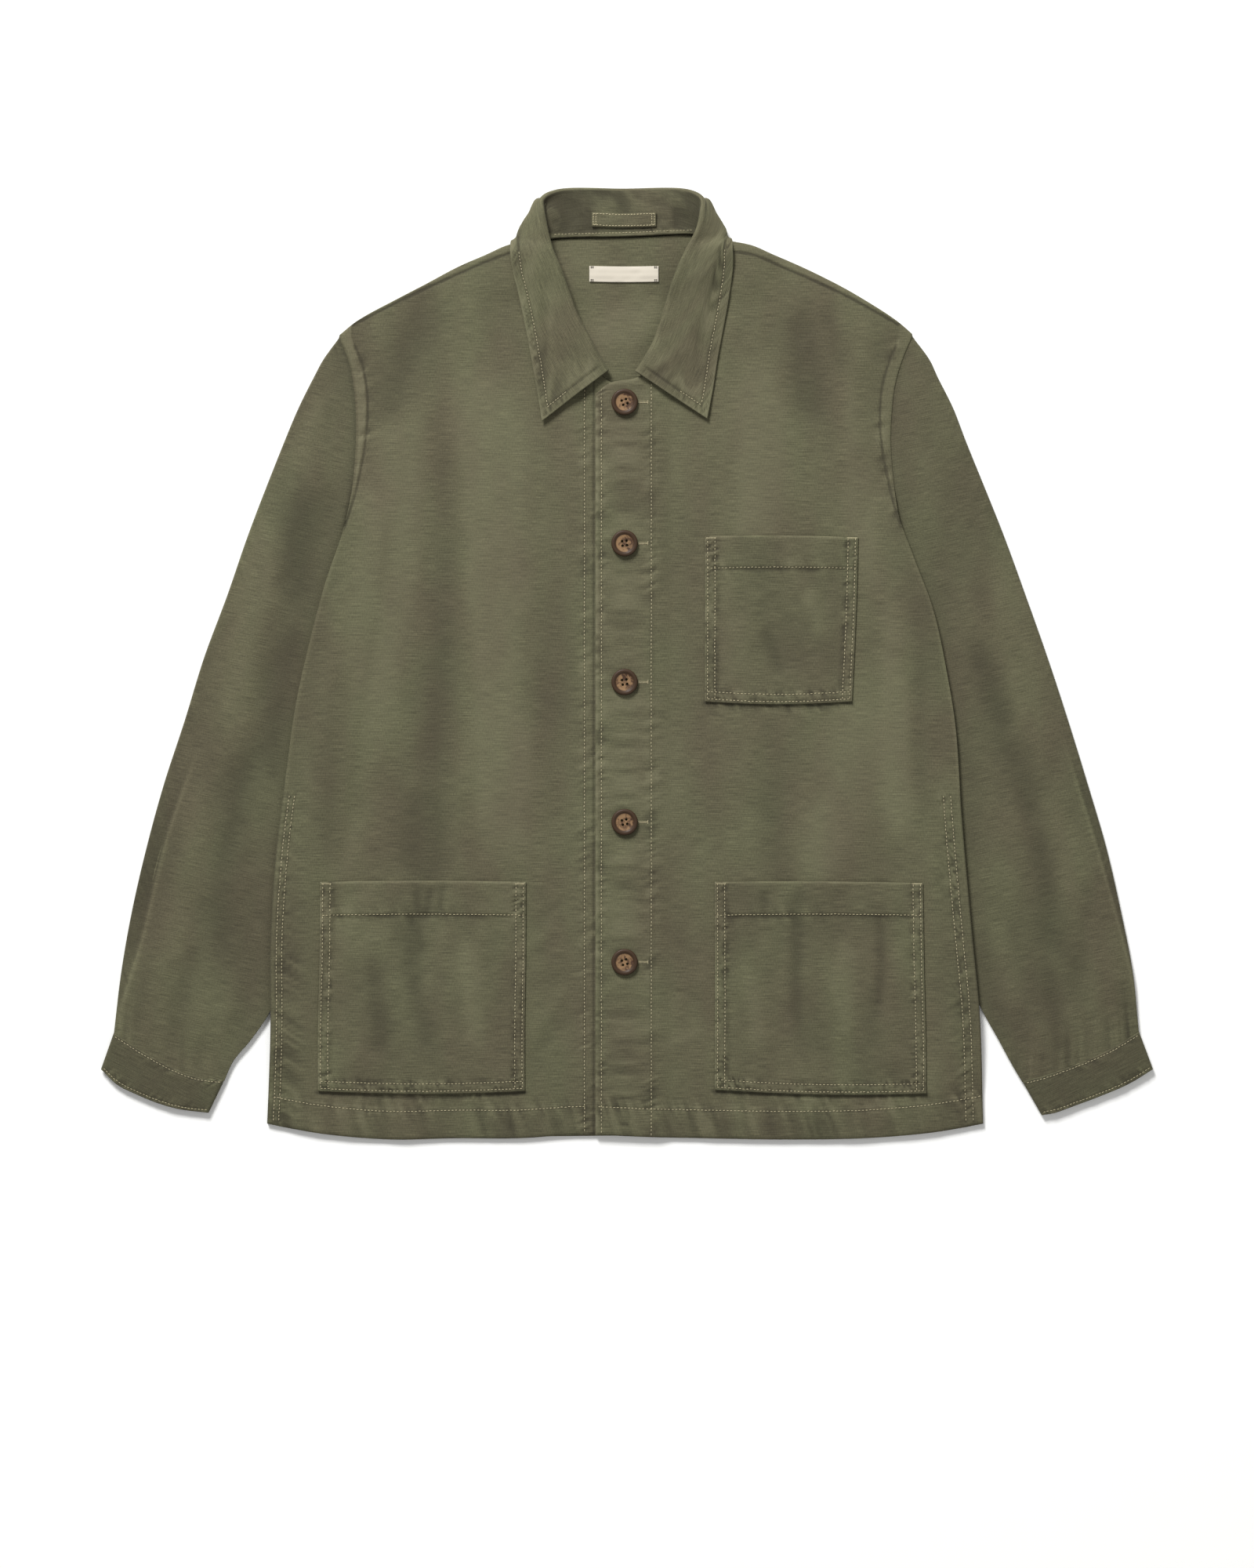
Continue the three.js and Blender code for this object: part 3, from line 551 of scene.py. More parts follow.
@dataclass(frozen=True)
class BackSateen(Finish):
    """Cotton back sateen, woven with uneven yarns, dyed olive and washed.

    The uneven weft shows as fine lines across the cloth; washing leaves soft
    browner and greener patches, and rubs the ridges of the seams lighter.
    Each piece's attribute adds painted highlight on ridges and edges, and
    painted shade in grooves, troughs of folds and where shade falls.
    """

    green: str = "#5B5A43"
    brown: str = "#57523F"
    # Lighter colour: rubbed seam ridges, and painted highlight on ridges of folds and on edges.
    rubbed_and_lit: str = "#8A866B"
    # Painted shade colour: seam grooves, troughs of folds and places where shade falls.
    shade_colour: str = "#26221A"
    sheen: str = "#C9C7AE"
    patch: Pair = (46.0, 105.0)
    # Thick places of the weft, drawn about twice as high as they are, so that they show.
    slub: Pair = (15.0, 0.6)
    slub_swing: float = 0.28
    # The yarns lie 0.35 mm apart; drawn coarser than that, so that they show.
    yarn: Pair = (0.7, 2.8)
    yarn_swing: float = 0.15
    most_rubbed_and_lit: float = 0.38
    most_shaded: float = 0.6

    def pattern(self, tree: Tree, size: Pair, detail: float, roughness: float = 0.5) -> Socket:
        """Noise on the cloth as it lay before sewing.

        Args:
            tree: Node tree.
            size: Length of the marks along and across the weft, in millimetres.
            detail: How many finer marks lie in them.
            roughness: How strong the finer marks are.

        Returns:
            The noise, 0 to 1.
        """
        place = node(tree, "ShaderNodeUVMap", {"uv_map": "pattern"}, {}).outputs["UV"]
        scale = {"Scale": (1 / (size[0] * MM), 1 / (size[1] * MM), 1.0)}
        stretched = node(tree, "ShaderNodeMapping", scale, {"Vector": place})
        settings = {"noise_dimensions": "2D", "Scale": 1.0, "Detail": detail, "Roughness": roughness}
        return node(tree, "ShaderNodeTexNoise", settings, {"Vector": stretched.outputs[0]}).outputs[0]

    def surface(self, tree: Tree) -> Socket:
        """Cloth shader: patches, slub lines, yarn grain, rubbing with painted highlight and painted shade,
        and a soft sheen.

        Args:
            tree: Node tree.

        Returns:
            The shader.
        """
        patches = self.pattern(tree, self.patch, 2.0)
        slub = self.pattern(tree, self.slub, 2.0, 0.6)
        grain = self.pattern(tree, self.yarn, 1.0)
        tone = node(tree, "ShaderNodeMapRange", {"From Min": 0.3, "From Max": 0.7}, {"Value": patches})
        colours = {"data_type": "RGBA", 6: linear(self.green), 7: linear(self.brown)}
        colour = node(tree, "ShaderNodeMix", colours, {0: tone.outputs[0]}).outputs[2]
        for marks, swing in ((slub, self.slub_swing), (grain, self.yarn_swing)):
            ends = {"From Min": 0.25, "From Max": 0.75, "clamp": False}
            ends |= {"To Min": 1 - swing, "To Max": 1 + swing}
            level = node(tree, "ShaderNodeMapRange", ends, {"Value": marks})
            links = {0: colour, "Scale": level.outputs[0]}
            colour = node(tree, "ShaderNodeVectorMath", {"operation": "SCALE"}, links).outputs[0]
        # Mixes in the lighter colour and the painted shade colour by each piece's rubbing-and-shading
        # attribute.
        wear_and_shading_level = node(tree, "ShaderNodeAttribute", {"attribute_name": "worn"}, {}).outputs["Fac"]
        for end, most, tint in ((1.0, self.most_rubbed_and_lit, self.rubbed_and_lit), (-1.0, self.most_shaded, self.shade_colour)):
            ends = {"From Min": 0.0, "From Max": end, "To Max": most}
            share = node(tree, "ShaderNodeMapRange", ends, {"Value": wear_and_shading_level})
            settings = {"data_type": "RGBA", 7: linear(tint)}
            colour = node(tree, "ShaderNodeMix", settings, {0: share.outputs[0], 6: colour}).outputs[2]
        relief = node(tree, "ShaderNodeMath", {"operation": "ADD"}, {0: slub, 1: grain})
        settings = {"Strength": 0.5, "Distance": 0.25 * MM}
        bump = node(tree, "ShaderNodeBump", settings, {"Height": relief.outputs[0]})
        settings = {"Roughness": 0.82, "IOR": 1.46, "Specular IOR Level": 0.25}
        settings |= {"Sheen Weight": 0.12, "Sheen Roughness": 0.5, "Sheen Tint": linear(self.sheen)}
        links = {"Base Color": colour, "Normal": bump.outputs[0]}
        return node(tree, "ShaderNodeBsdfPrincipled", settings, links).outputs[0]


@dataclass(frozen=True)
class SewingThread(Finish):
    """Spun polyester sewing thread, khaki, a little lighter than the cloth and slightly glossy."""

    colour: str = "#A39A79"
    # A 0.3 mm twist is finer than a render shows, so it is drawn three times as long.
    twist: float = 0.9

    def surface(self, tree: Tree) -> Socket:
        """Thread shader with the twist as an uneven tone.

        Args:
            tree: Node tree.

        Returns:
            The shader.
        """
        place = node(tree, "ShaderNodeTexCoord", {}, {}).outputs["Object"]
        settings = {"Scale": 1 / (self.twist * MM), "Detail": 1.0}
        uneven = node(tree, "ShaderNodeTexNoise", settings, {"Vector": place})
        colour = self.toned(tree, self.colour, uneven.outputs[0], (0.75, 1.2), (0.3, 0.7))
        settings = {"Roughness": 0.6, "IOR": 1.5, "Sheen Weight": 0.1}
        return node(tree, "ShaderNodeBsdfPrincipled", settings, {"Base Color": colour}).outputs[0]


@dataclass(frozen=True)
class PolishedHorn(Finish):
    """Turned and tumbled horn: dark rim, amber clouds in the dish, a soft polish."""

    amber: str = "#876A4B"
    middle: str = "#412C1E"
    dark: str = "#392717"
    cloud: float = 3.4
    # The dark rim begins and is full at these distances from the middle.
    rim: Pair = (6.3, 7.7)
    # The clouds are lighter towards one side, by this much at this distance.
    lean: float = 0.1
    lean_reach: float = 6.0

    def surface(self, tree: Tree) -> Socket:
        """Horn shader: clouds by place, darker towards the rim.

        Args:
            tree: Node tree.

        Returns:
            The shader.
        """
        place = node(tree, "ShaderNodeTexCoord", {}, {}).outputs["Object"]
        own = node(tree, "ShaderNodeObjectInfo", {}, {}).outputs["Random"]
        settings = {"noise_dimensions": "4D", "Scale": 1 / (self.cloud * MM)}
        settings |= {"Detail": 4.0, "Distortion": 0.8}
        clouds = node(tree, "ShaderNodeTexNoise", settings, {"Vector": place, "W": own})
        split = node(tree, "ShaderNodeSeparateXYZ", {}, {0: place})
        flat = node(tree, "ShaderNodeCombineXYZ", {}, {0: split.outputs[0], 1: split.outputs[1]})
        reach = node(tree, "ShaderNodeVectorMath", {"operation": "LENGTH"}, {0: flat.outputs[0]})
        ends = {"From Min": self.rim[0] * MM, "From Max": self.rim[1] * MM}
        ends |= {"interpolation_type": "SMOOTHSTEP"}
        rim = node(tree, "ShaderNodeMapRange", ends, {"Value": reach.outputs["Value"]})
        ends = {"From Min": -self.lean_reach * MM, "From Max": self.lean_reach * MM}
        ends |= {"To Min": -self.lean, "To Max": self.lean}
        lean = node(tree, "ShaderNodeMapRange", ends, {"Value": split.outputs[0]})
        mixed = node(tree, "ShaderNodeMath", {"operation": "ADD"}, {0: clouds.outputs[0], 1: lean.outputs[0]})
        ramp = node(tree, "ShaderNodeValToRGB", {}, {0: mixed.outputs[0]})
        stops = ramp.color_ramp.elements
        stops[0].position, stops[0].color = 0.44, linear(self.amber)
        stops[1].position, stops[1].color = 0.64, linear(self.middle)
        settings = {"data_type": "RGBA", 7: linear(self.dark)}
        colour = node(tree, "ShaderNodeMix", settings, {0: rim.outputs[0], 6: ramp.outputs[0]})
        settings = {"Roughness": 0.58, "IOR": 1.5, "Specular IOR Level": 0.28}
        settings |= {"Coat Weight": 0.04, "Coat Roughness": 0.2}
        return node(tree, "ShaderNodeBsdfPrincipled", settings, {"Base Color": colour.outputs[2]}).outputs[0]


@dataclass(frozen=True)
class LabelTaffeta(Finish):
    """Woven polyester taffeta, cream: smooth, with a fine rib and a faint gloss."""

    colour: str = "#CBC3B3"
    # The ribs are 0.4 mm apart; drawn at twice that, so that they show.
    rib: float = 0.8

    def surface(self, tree: Tree) -> Socket:
        """Label shader with its ribs.

        Args:
            tree: Node tree.

        Returns:
            The shader.
        """
        place = node(tree, "ShaderNodeUVMap", {"uv_map": "pattern"}, {}).outputs["UV"]
        settings = {"Scale": 0.05 / (self.rib * MM), "bands_direction": "Y", "Distortion": 0.6}
        ribs = node(tree, "ShaderNodeTexWave", settings, {"Vector": place}).outputs["Fac"]
        colour = self.toned(tree, self.colour, ribs, (0.94, 1.03))
        bump = node(tree, "ShaderNodeBump", {"Strength": 0.3, "Distance": 0.1 * MM}, {"Height": ribs})
        links = {"Base Color": colour, "Normal": bump.outputs[0]}
        return node(tree, "ShaderNodeBsdfPrincipled", {"Roughness": 0.55, "IOR": 1.5}, links).outputs[0]


@dataclass(frozen=True)
class MattPaper(Finish):
    """Matt white background paper under the jacket."""

    colour: str = "#FCFCFA"

    def surface(self, tree: Tree) -> Socket:
        """Paper shader with a trace of fibre in its tone.

        Args:
            tree: Node tree.

        Returns:
            The shader.
        """
        place = node(tree, "ShaderNodeTexCoord", {}, {}).outputs["Object"]
        fibre = node(tree, "ShaderNodeTexNoise", {"Scale": 40.0, "Detail": 2.0}, {"Vector": place})
        colour = self.toned(tree, self.colour, fibre.outputs[0], (0.985, 1.0))
        return node(tree, "ShaderNodeBsdfPrincipled", {"Roughness": 0.95}, {"Base Color": colour}).outputs[0]


CLOTH = BackSateen("cotton_back_sateen")
THREAD = SewingThread("spun_sewing_thread")
DARK_THREAD = SewingThread("dark_sewing_thread", "#3B3529")
HORN = PolishedHorn("polished_horn")
LABEL_CLOTH = LabelTaffeta("woven_label_taffeta")
PAPER = MattPaper("matt_background_paper")


# ---- how the jacket lies
class Side(Enum):
    """The wearer's sides; the right one lies at -X."""

    RIGHT = -1
    LEFT = 1


def both(right: Points, left: Points) -> dict[Side, Line]:
    """Lines of both sides."""
    return {Side.RIGHT: Line(right), Side.LEFT: Line(left)}


# Cloth of one sewn layer, the gap at a seam, and how far a turned edge stands up.
WALL = 1.5
SEAM = 0.3
LAYER = WALL + SEAM
TURNED = 0.7
FLOOR_MID = WALL / 2
HEM_DEPTH = 25.0
HEM_STITCH = 23.2
UNDERARM_Y = 104.0
SIDE_STITCH_Y = -88.0
# The panels bulge to their side lines by this power of the place across.
BULGE = 2.2
# Both rows of the side seam, inwards from the side.
SIDE_ROWS = {Side.RIGHT: (5.2, 9.6), Side.LEFT: (8.2, 14.2)}
PLACKET_EDGE = -26.0
PLACKET_STITCH = 20.0
FACING_STITCH = -35.0
BUTTON_X = -2.0
BUTTON_YS = (215.0, 99.0, -15.0, -130.0, -245.0)

BODY_EDGE = both(
    [(-237, 268), (-228, 244), (-224, 219), (-223, 186), (-225, 154), (-228, 132), (-235, 104)]
    + [(-248, 66), (-259, 25), (-272, -33), (-280, -90), (-288, -152)]
    + [(-293, -227), (-293, -300), (-296, -378)],
    [(235, 269), (227, 250), (221, 230), (218, 207), (217, 182), (220, 144), (224, 119), (235, 89)]
    + [(252, 43), (263, -8), (270, -52), (275, -124), (283, -215), (290, -290), (293, -378)],
)
SHOULDER = both(
    [(-237, 268), (-222, 280), (-189, 298), (-164, 311), (-137, 325), (-113, 335), (-98, 342), (-82, 346)],
    [(235, 269), (222, 280), (194, 298), (171, 311), (144, 324), (118, 335), (101, 342), (76, 347)],
)
# The seam that joins front and back lies a little way in front of the fold.
SHOULDER_SEAM = both(
    [(-225, 279), (-179, 302), (-150, 315.5), (-119, 329), (-98, 336.8), (-84, 341)],
    [(223, 279), (181, 302), (148, 317.5), (129, 325.5), (118, 330.5), (101, 336.6), (80, 339)],
)
BACK_NECK = Line(
    [(-82, 346), (-70, 347), (-58, 349), (-38, 350), (0, 350.5), (33, 352), (50, 353), (62, 351), (76, 347)]
)
FRONT_NECK = both(
    [(16, 229), (-5, 229), (-17, 234), (-28, 245), (-41, 259), (-52, 276), (-61, 296), (-70, 317)]
    + [(-82, 346)],
    [(-26, 222), (-14, 231), (7, 235), (18, 241), (31, 254), (43, 271), (53, 291), (63, 314), (76, 347)],
)
BACK_HEM = Line(
    [(-296, -378), (-276, -382), (-245, -386), (-194, -390), (-100, -389), (-5, -388)]
    + [(64, -389), (129, -390), (194, -389), (245, -385), (272, -381), (293, -378)]
)
HEM = both(
    [(16, -388), (-39, -387), (-90, -390), (-142, -390), (-194, -391), (-245, -387), (-276, -382)]
    + [(-296, -378)],
    [(-26, -387), (20, -389), (64, -390), (129, -391), (194, -390), (245, -386), (272, -382), (293, -378)],
)
SLEEVE_OUTER = both(
    [(-237, 268), (-250, 250), (-257, 237), (-270, 211), (-281, 185), (-311, 108), (-329, 56), (-348, 5)]
    + [(-364, -47), (-381, -99), (-395, -150), (-407, -202), (-416, -253), (-422, -303)],
    [(235, 269), (249, 250), (255, 237), (268, 211), (278, 185), (309, 108), (328, 56), (346, 5)]
    + [(363, -47), (379, -99), (394, -150), (406, -202), (416, -253), (421, -302)],
)
SLEEVE_INNER = both(
    [(-235, 104), (-239, 62), (-245, 20), (-255, -40), (-264, -100), (-272, -160), (-279, -220)]
    + [(-289, -275), (-307, -304), (-322, -322), (-331, -342)],
    [(235, 89), (239, 55), (245, 15), (251, -40), (256, -100), (262, -160), (270, -220)]
    + [(286, -272), (304, -306), (316, -328), (325, -343)],
)
CUFF_SEAM = both(
    [(-422, -303), (-400, -317), (-377, -330), (-358, -338), (-345, -341), (-331, -342)],
    [(421, -302), (405, -312), (390, -320), (374, -327), (344, -338), (325, -343)],
)
CUFF_BOTTOM = both(
    [(-432.6, -333), (-419, -346), (-403, -354), (-386, -361), (-368, -366), (-344, -369)],
    [(432.6, -333), (413, -345), (390, -355), (366, -364), (352, -369), (341, -371)],
)


@dataclass(frozen=True)
class Fold:
    """A soft ridge or trough on a straight line; negative height sinks."""

    start: Pair
    end: Pair
    width: float
    height: float
    bow: float = 0.0

    def at(self, x: Array, y: Array) -> Array:
        """Height at places: rounded across, faded at both ends.

        Args:
            x: Places, any shape.
            y: The same shape.

        Returns:
            Heights.
        """
        dx, dy = self.end[0] - self.start[0], self.end[1] - self.start[1]
        size = math.hypot(dx, dy)
        t = ((x - self.start[0]) * dx + (y - self.start[1]) * dy) / size**2
        off = ((x - self.start[0]) * dy - (y - self.start[1]) * dx) / size - self.bow * 4 * t * (1 - t)
        return self.height * smooth((t + 0.1) / 0.3) * smooth((1.1 - t) / 0.3) * bell(off, self.width)


def inward(lines: dict[Side, Line], x: Array, y: Array) -> Array:
    """How far places lie inwards of an edge line of their own side."""
    return np.where(x < 0, x - lines[Side.RIGHT].x_at(y), lines[Side.LEFT].x_at(y) - x)


@dataclass(frozen=True)
class Lay:
    """Heights of the layers: the body rests on the tucked sleeve edges and the collar."""

    tuck_top: float = 104.0
    tuck_low: float = -292.0
    tuck_height: float = 4.0
    neck_height: float = LAYER + 0.5
    collar_x: float = -3.5
    carry_clear: float = 0.9
    tuck_line: dict = field(
        default_factory=lambda: {
            Side.RIGHT: Line(tuple(SLEEVE_INNER[Side.RIGHT].points[:8]) + ((-292, -378),)),
            Side.LEFT: Line(tuple(SLEEVE_INNER[Side.LEFT].points[:8]) + ((289, -378),)),
        }
    )
    # The large folds of the fronts, as they lie.
    folds: tuple[Fold, ...] = (
        Fold((-164, 312), (-203, 190), 17, -1.5, -4), Fold((-146, 180), (-158, -120), 17, -1.1),
        Fold((-196, 230), (-205, -60), 22, 1.2), Fold((-112, 250), (-104, -160), 26, 1.3),
        Fold((-160, -120), (-168, -330), 16, -0.9), Fold((142, 292), (153, 195), 14, -1.5),
        Fold((190, 240), (196, 60), 15, 1.0), Fold((112, 240), (104, 20), 20, 1.2),
        Fold((214, 60), (222, -150), 14, 1.1), Fold((200, -10), (160, -170), 26, 0.9),
        Fold((118, -60), (132, -330), 14, -0.9), Fold((172, -190), (176, -340), 12, -0.8),
    )

    def carried(self, x: Array, y: Array) -> Array:
        """Height at which the back is carried by the sleeves and the collar.

        Args:
            x: Places, any shape.
            y: The same shape.

        Returns:
            Heights over the floor.
        """
        lengthwise = smooth((self.tuck_top + 48 - y) / 40) * smooth((y - self.tuck_low + 70) / 70)
        crosswise = 1 - smooth((inward(self.tuck_line, x, y) - 6) / 40)
        at_neck = smooth((y - 290) / 38) * (1 - smooth((np.abs(x - self.collar_x) - 104) / 30))
        return np.maximum(self.tuck_height * lengthwise * crosswise, self.neck_height * at_neck)

    def loft(self, x: Array, y: Array) -> Array:
        """Air under the fronts: none at their edges, more along the folds.

        Args:
            x: Places, any shape.
            y: The same shape.

        Returns:
            Thickness of the air.
        """
        ease = smooth((inward(BODY_EDGE, x, y) - 4) / 36) * smooth((np.abs(x + 3) - 38) / 40)
        ease = ease * mix(0.35, 1, smooth((y + 385) / 60)) * mix(0.3, 1, smooth((350 - y) / 70))
        folds = sum(fold.at(x, y) for fold in self.folds)
        return ease * np.maximum(0.1, 1.5 + folds)

    def back_mid(self, x: Array, y: Array) -> Array:
        """Middle of the back's cloth."""
        return FLOOR_MID + self.carried(x, y)

    def front_mid(self, x: Array, y: Array) -> Array:
        """Middle of a front's cloth, one layer over the back."""
        carried = self.carried(x, y)
        return FLOOR_MID + carried + LAYER + self.loft(x, y) + self.carry_clear * smooth(carried / 1.2)

    def lap_mid(self, x: Array, y: Array) -> Array:
        """Middle of the lapping front: one layer more over the underlap."""
        return self.front_mid(x, y) + LAYER * (1 - smooth((x - PLACKET_STITCH - 2) / 16))


LAY = Lay()


# ---- sewing
@dataclass(frozen=True)
class StitchRow:
    """A row of stitches and what it does to the cloth round it."""

    line: Line
    sink: float = 0.3
    groove: float = 1.1
    pucker: float = 0.18
    pitch: float = 7.0
    reach: float = 5.0
    seed: int = 1
    sewn: bool = True

    def relief(self, x: Array, y: Array) -> Array:
        """Height that the row adds to cloth: a groove, and ripples across it.

        Args:
            x: Places, any shape.
            y: The same shape.

        Returns:
            Heights.
        """
        off, along = self.line.nearest(x, y)
        waves = ripple(along + 0.4 * off, self.pitch, self.seed)
        return self.pucker * waves * bell(off, self.reach) - self.sink * bell(off, self.groove)


@dataclass(frozen=True)
class Undulation:
    """Soft unevenness that washing leaves in the cloth."""

    seed: int
    height: float = 0.5
    size: Pair = (62.0, 95.0)
    turn: float = 8.0

    def at(self, x: Array, y: Array) -> Array:
        """Height at places: a broad and a smaller pattern.

        Args:
            x: Places, any shape.
            y: The same shape.

        Returns:
            Heights.
        """
        broad = noise(x, y, self.size, self.seed, self.turn)
        small = noise(x, y, (self.size[0] * 0.36, self.size[1] * 0.3), self.seed + 11, -self.turn * 2)
        fine = noise(x, y, (9.0, 6.5), self.seed + 23, self.turn)
        return self.height * (broad + 0.4 * small + 0.2 * fine)


def wear_and_shading_of(detail: Array) -> Array:
    """Lighter where seams stand up, for rubbing and painted highlight; painted shade where they sink."""
    return np.clip(detail / 0.45, -0.9, 0.5)


def fold_shading_of(fold: Array) -> Array:
    """Painted shading of folds: darker in troughs and lighter on ridges, as light falls on them."""
    return np.clip(0.4 * fold, -0.55, 0.28)


def felled_width(y: Array) -> Array:
    """Width of the felled armhole seam, narrowing to nothing at the underarm."""
    return 10.6 * smooth((y - 90) / 140)


class Needle:
    """Sews rows of stitches onto finished pieces, as one object for each thread."""

    # Where the rays start, and the width and height of a satin stitch.
    above: float = 100.0
    satin_thread: Pair = (0.62, 0.55)

    def __init__(self, targets: Sequence[Piece]) -> None:
        """Takes the pieces that the stitches lie on.

        Args:
            targets: Pieces under the stitches.
        """
        points, faces, start = [], [], 0
        for piece in targets:
            mesh = piece.data
            points += [v.co[:] for v in mesh.vertices]
            faces += [[start + i for i in p.vertices] for p in mesh.polygons]
            start = len(points)
        self.tree = BVHTree.FromPolygons(points, faces)
        self.plan = MeshPlan()
        self.dice = np.random.default_rng(5)

    def drop(self, x: float, y: float) -> tuple[float, Vector] | None:
        """Height and normal of the cloth under a place."""
        hit, normal, _, _ = self.tree.ray_cast((x * MM, y * MM, self.above * MM), (0, 0, -1))
        return None if hit is None else (hit.z / MM, normal if normal.z > 0 else -normal)

    def stitch(self, a: Array, b: Array, width: float, height: float) -> None:
        """One stitch from a to b: a low rounded capsule half sunk in the cloth.

        Args:
            a: Start, x and y.
            b: End, x and y.
            width: Width of the thread.
            height: Its height over its bed.
        """
        ends = [self.drop(*p) for p in (a, b)]
        if None in ends or abs(ends[0][0] - ends[1][0]) > 2.5:
            return
        start, stop = (np.array([p[0], p[1], e[0]]) for p, e in zip((a, b), ends))
        run = stop - start
        size = np.linalg.norm(run)
        run = run / max(size, 1e-6)
        up = np.array(ends[0][1])
        side = np.cross(up, run)
        side /= max(np.linalg.norm(side), 1e-6)
        up = np.cross(run, side)
        rings = []
        for t, fat in ((0.0, 0.0), (0.12, 0.75), (0.5, 1.0), (0.88, 0.75), (1.0, 0.0)):
            lift = height * 0.35 * math.sin(math.pi * t)
            centre = start + run * size * t + up * lift
            turn = np.linspace(0, 2 * math.pi, 6, endpoint=False)
            ring = np.outer(np.cos(turn), side) * width / 2 + np.outer(np.sin(turn), up) * height / 2
            rings.append(centre + ring * max(fat, 0.02))
        ring_numbers = self.plan.add(np.array(rings))
        closed = np.concatenate([ring_numbers, ring_numbers[:, :1]], 1)
        self.plan.skin(closed)
        self.plan.quads.append(ring_numbers[0][[[0, 1, 2, 3], [0, 3, 4, 5]]])
        self.plan.quads.append(ring_numbers[-1][[[0, 1, 2, 3], [0, 3, 4, 5]]])

    def sew(
        self, line: Line, step: float = 3.0, gap: float = 0.95, width: float = 0.75, height: float = 0.5
    ) -> None:
        """Sews along a line.

        Args:
            line: Where the row runs.
            step: From one stitch to the next.
            gap: Space between two stitches.
            width: Width of the thread as it shows.
            height: Height of the thread over its own bed.
        """
        dense = line.dense
        length = float(np.linalg.norm(np.diff(dense, axis=0), axis=1).sum())
        count = max(1, round(length / step))
        starts = line.at((np.arange(count) + 0.5 * gap / step) / count)
        stops = line.at((np.arange(count) + 1 - 0.5 * gap / step) / count)
        shift = self.dice.normal(0, 0.07, (count, 2))
        for a, b, s in zip(starts[:, :2] + shift, stops[:, :2] + shift, shift):
            self.stitch(a, b + s, width, height)

    def satin(self, start: Sequence[float], stop: Sequence[float], width: float, pitch: float = 0.55) -> None:
        """A dense bar of short stitches across a line, as in a bar tack or a buttonhole.

        Args:
            start: One end, x and y.
            stop: The other end.
            width: Length of each stitch across the line.
            pitch: From one stitch to the next.
        """
        a, b = np.array(start, float), np.array(stop, float)
        run = b - a
        size = float(np.linalg.norm(run))
        side = np.array([-run[1], run[0]]) / size * width / 2
        for t in np.linspace(0, 1, max(2, round(size / pitch))):
            wobble = 1 + self.dice.normal(0, 0.06)
            middle = a + run * t
            self.stitch(middle - side * wobble, middle + side * wobble, *self.satin_thread)

    def make(self, name: str) -> Piece:
        """Makes all stitches as one object."""
        return self.plan.make(name)


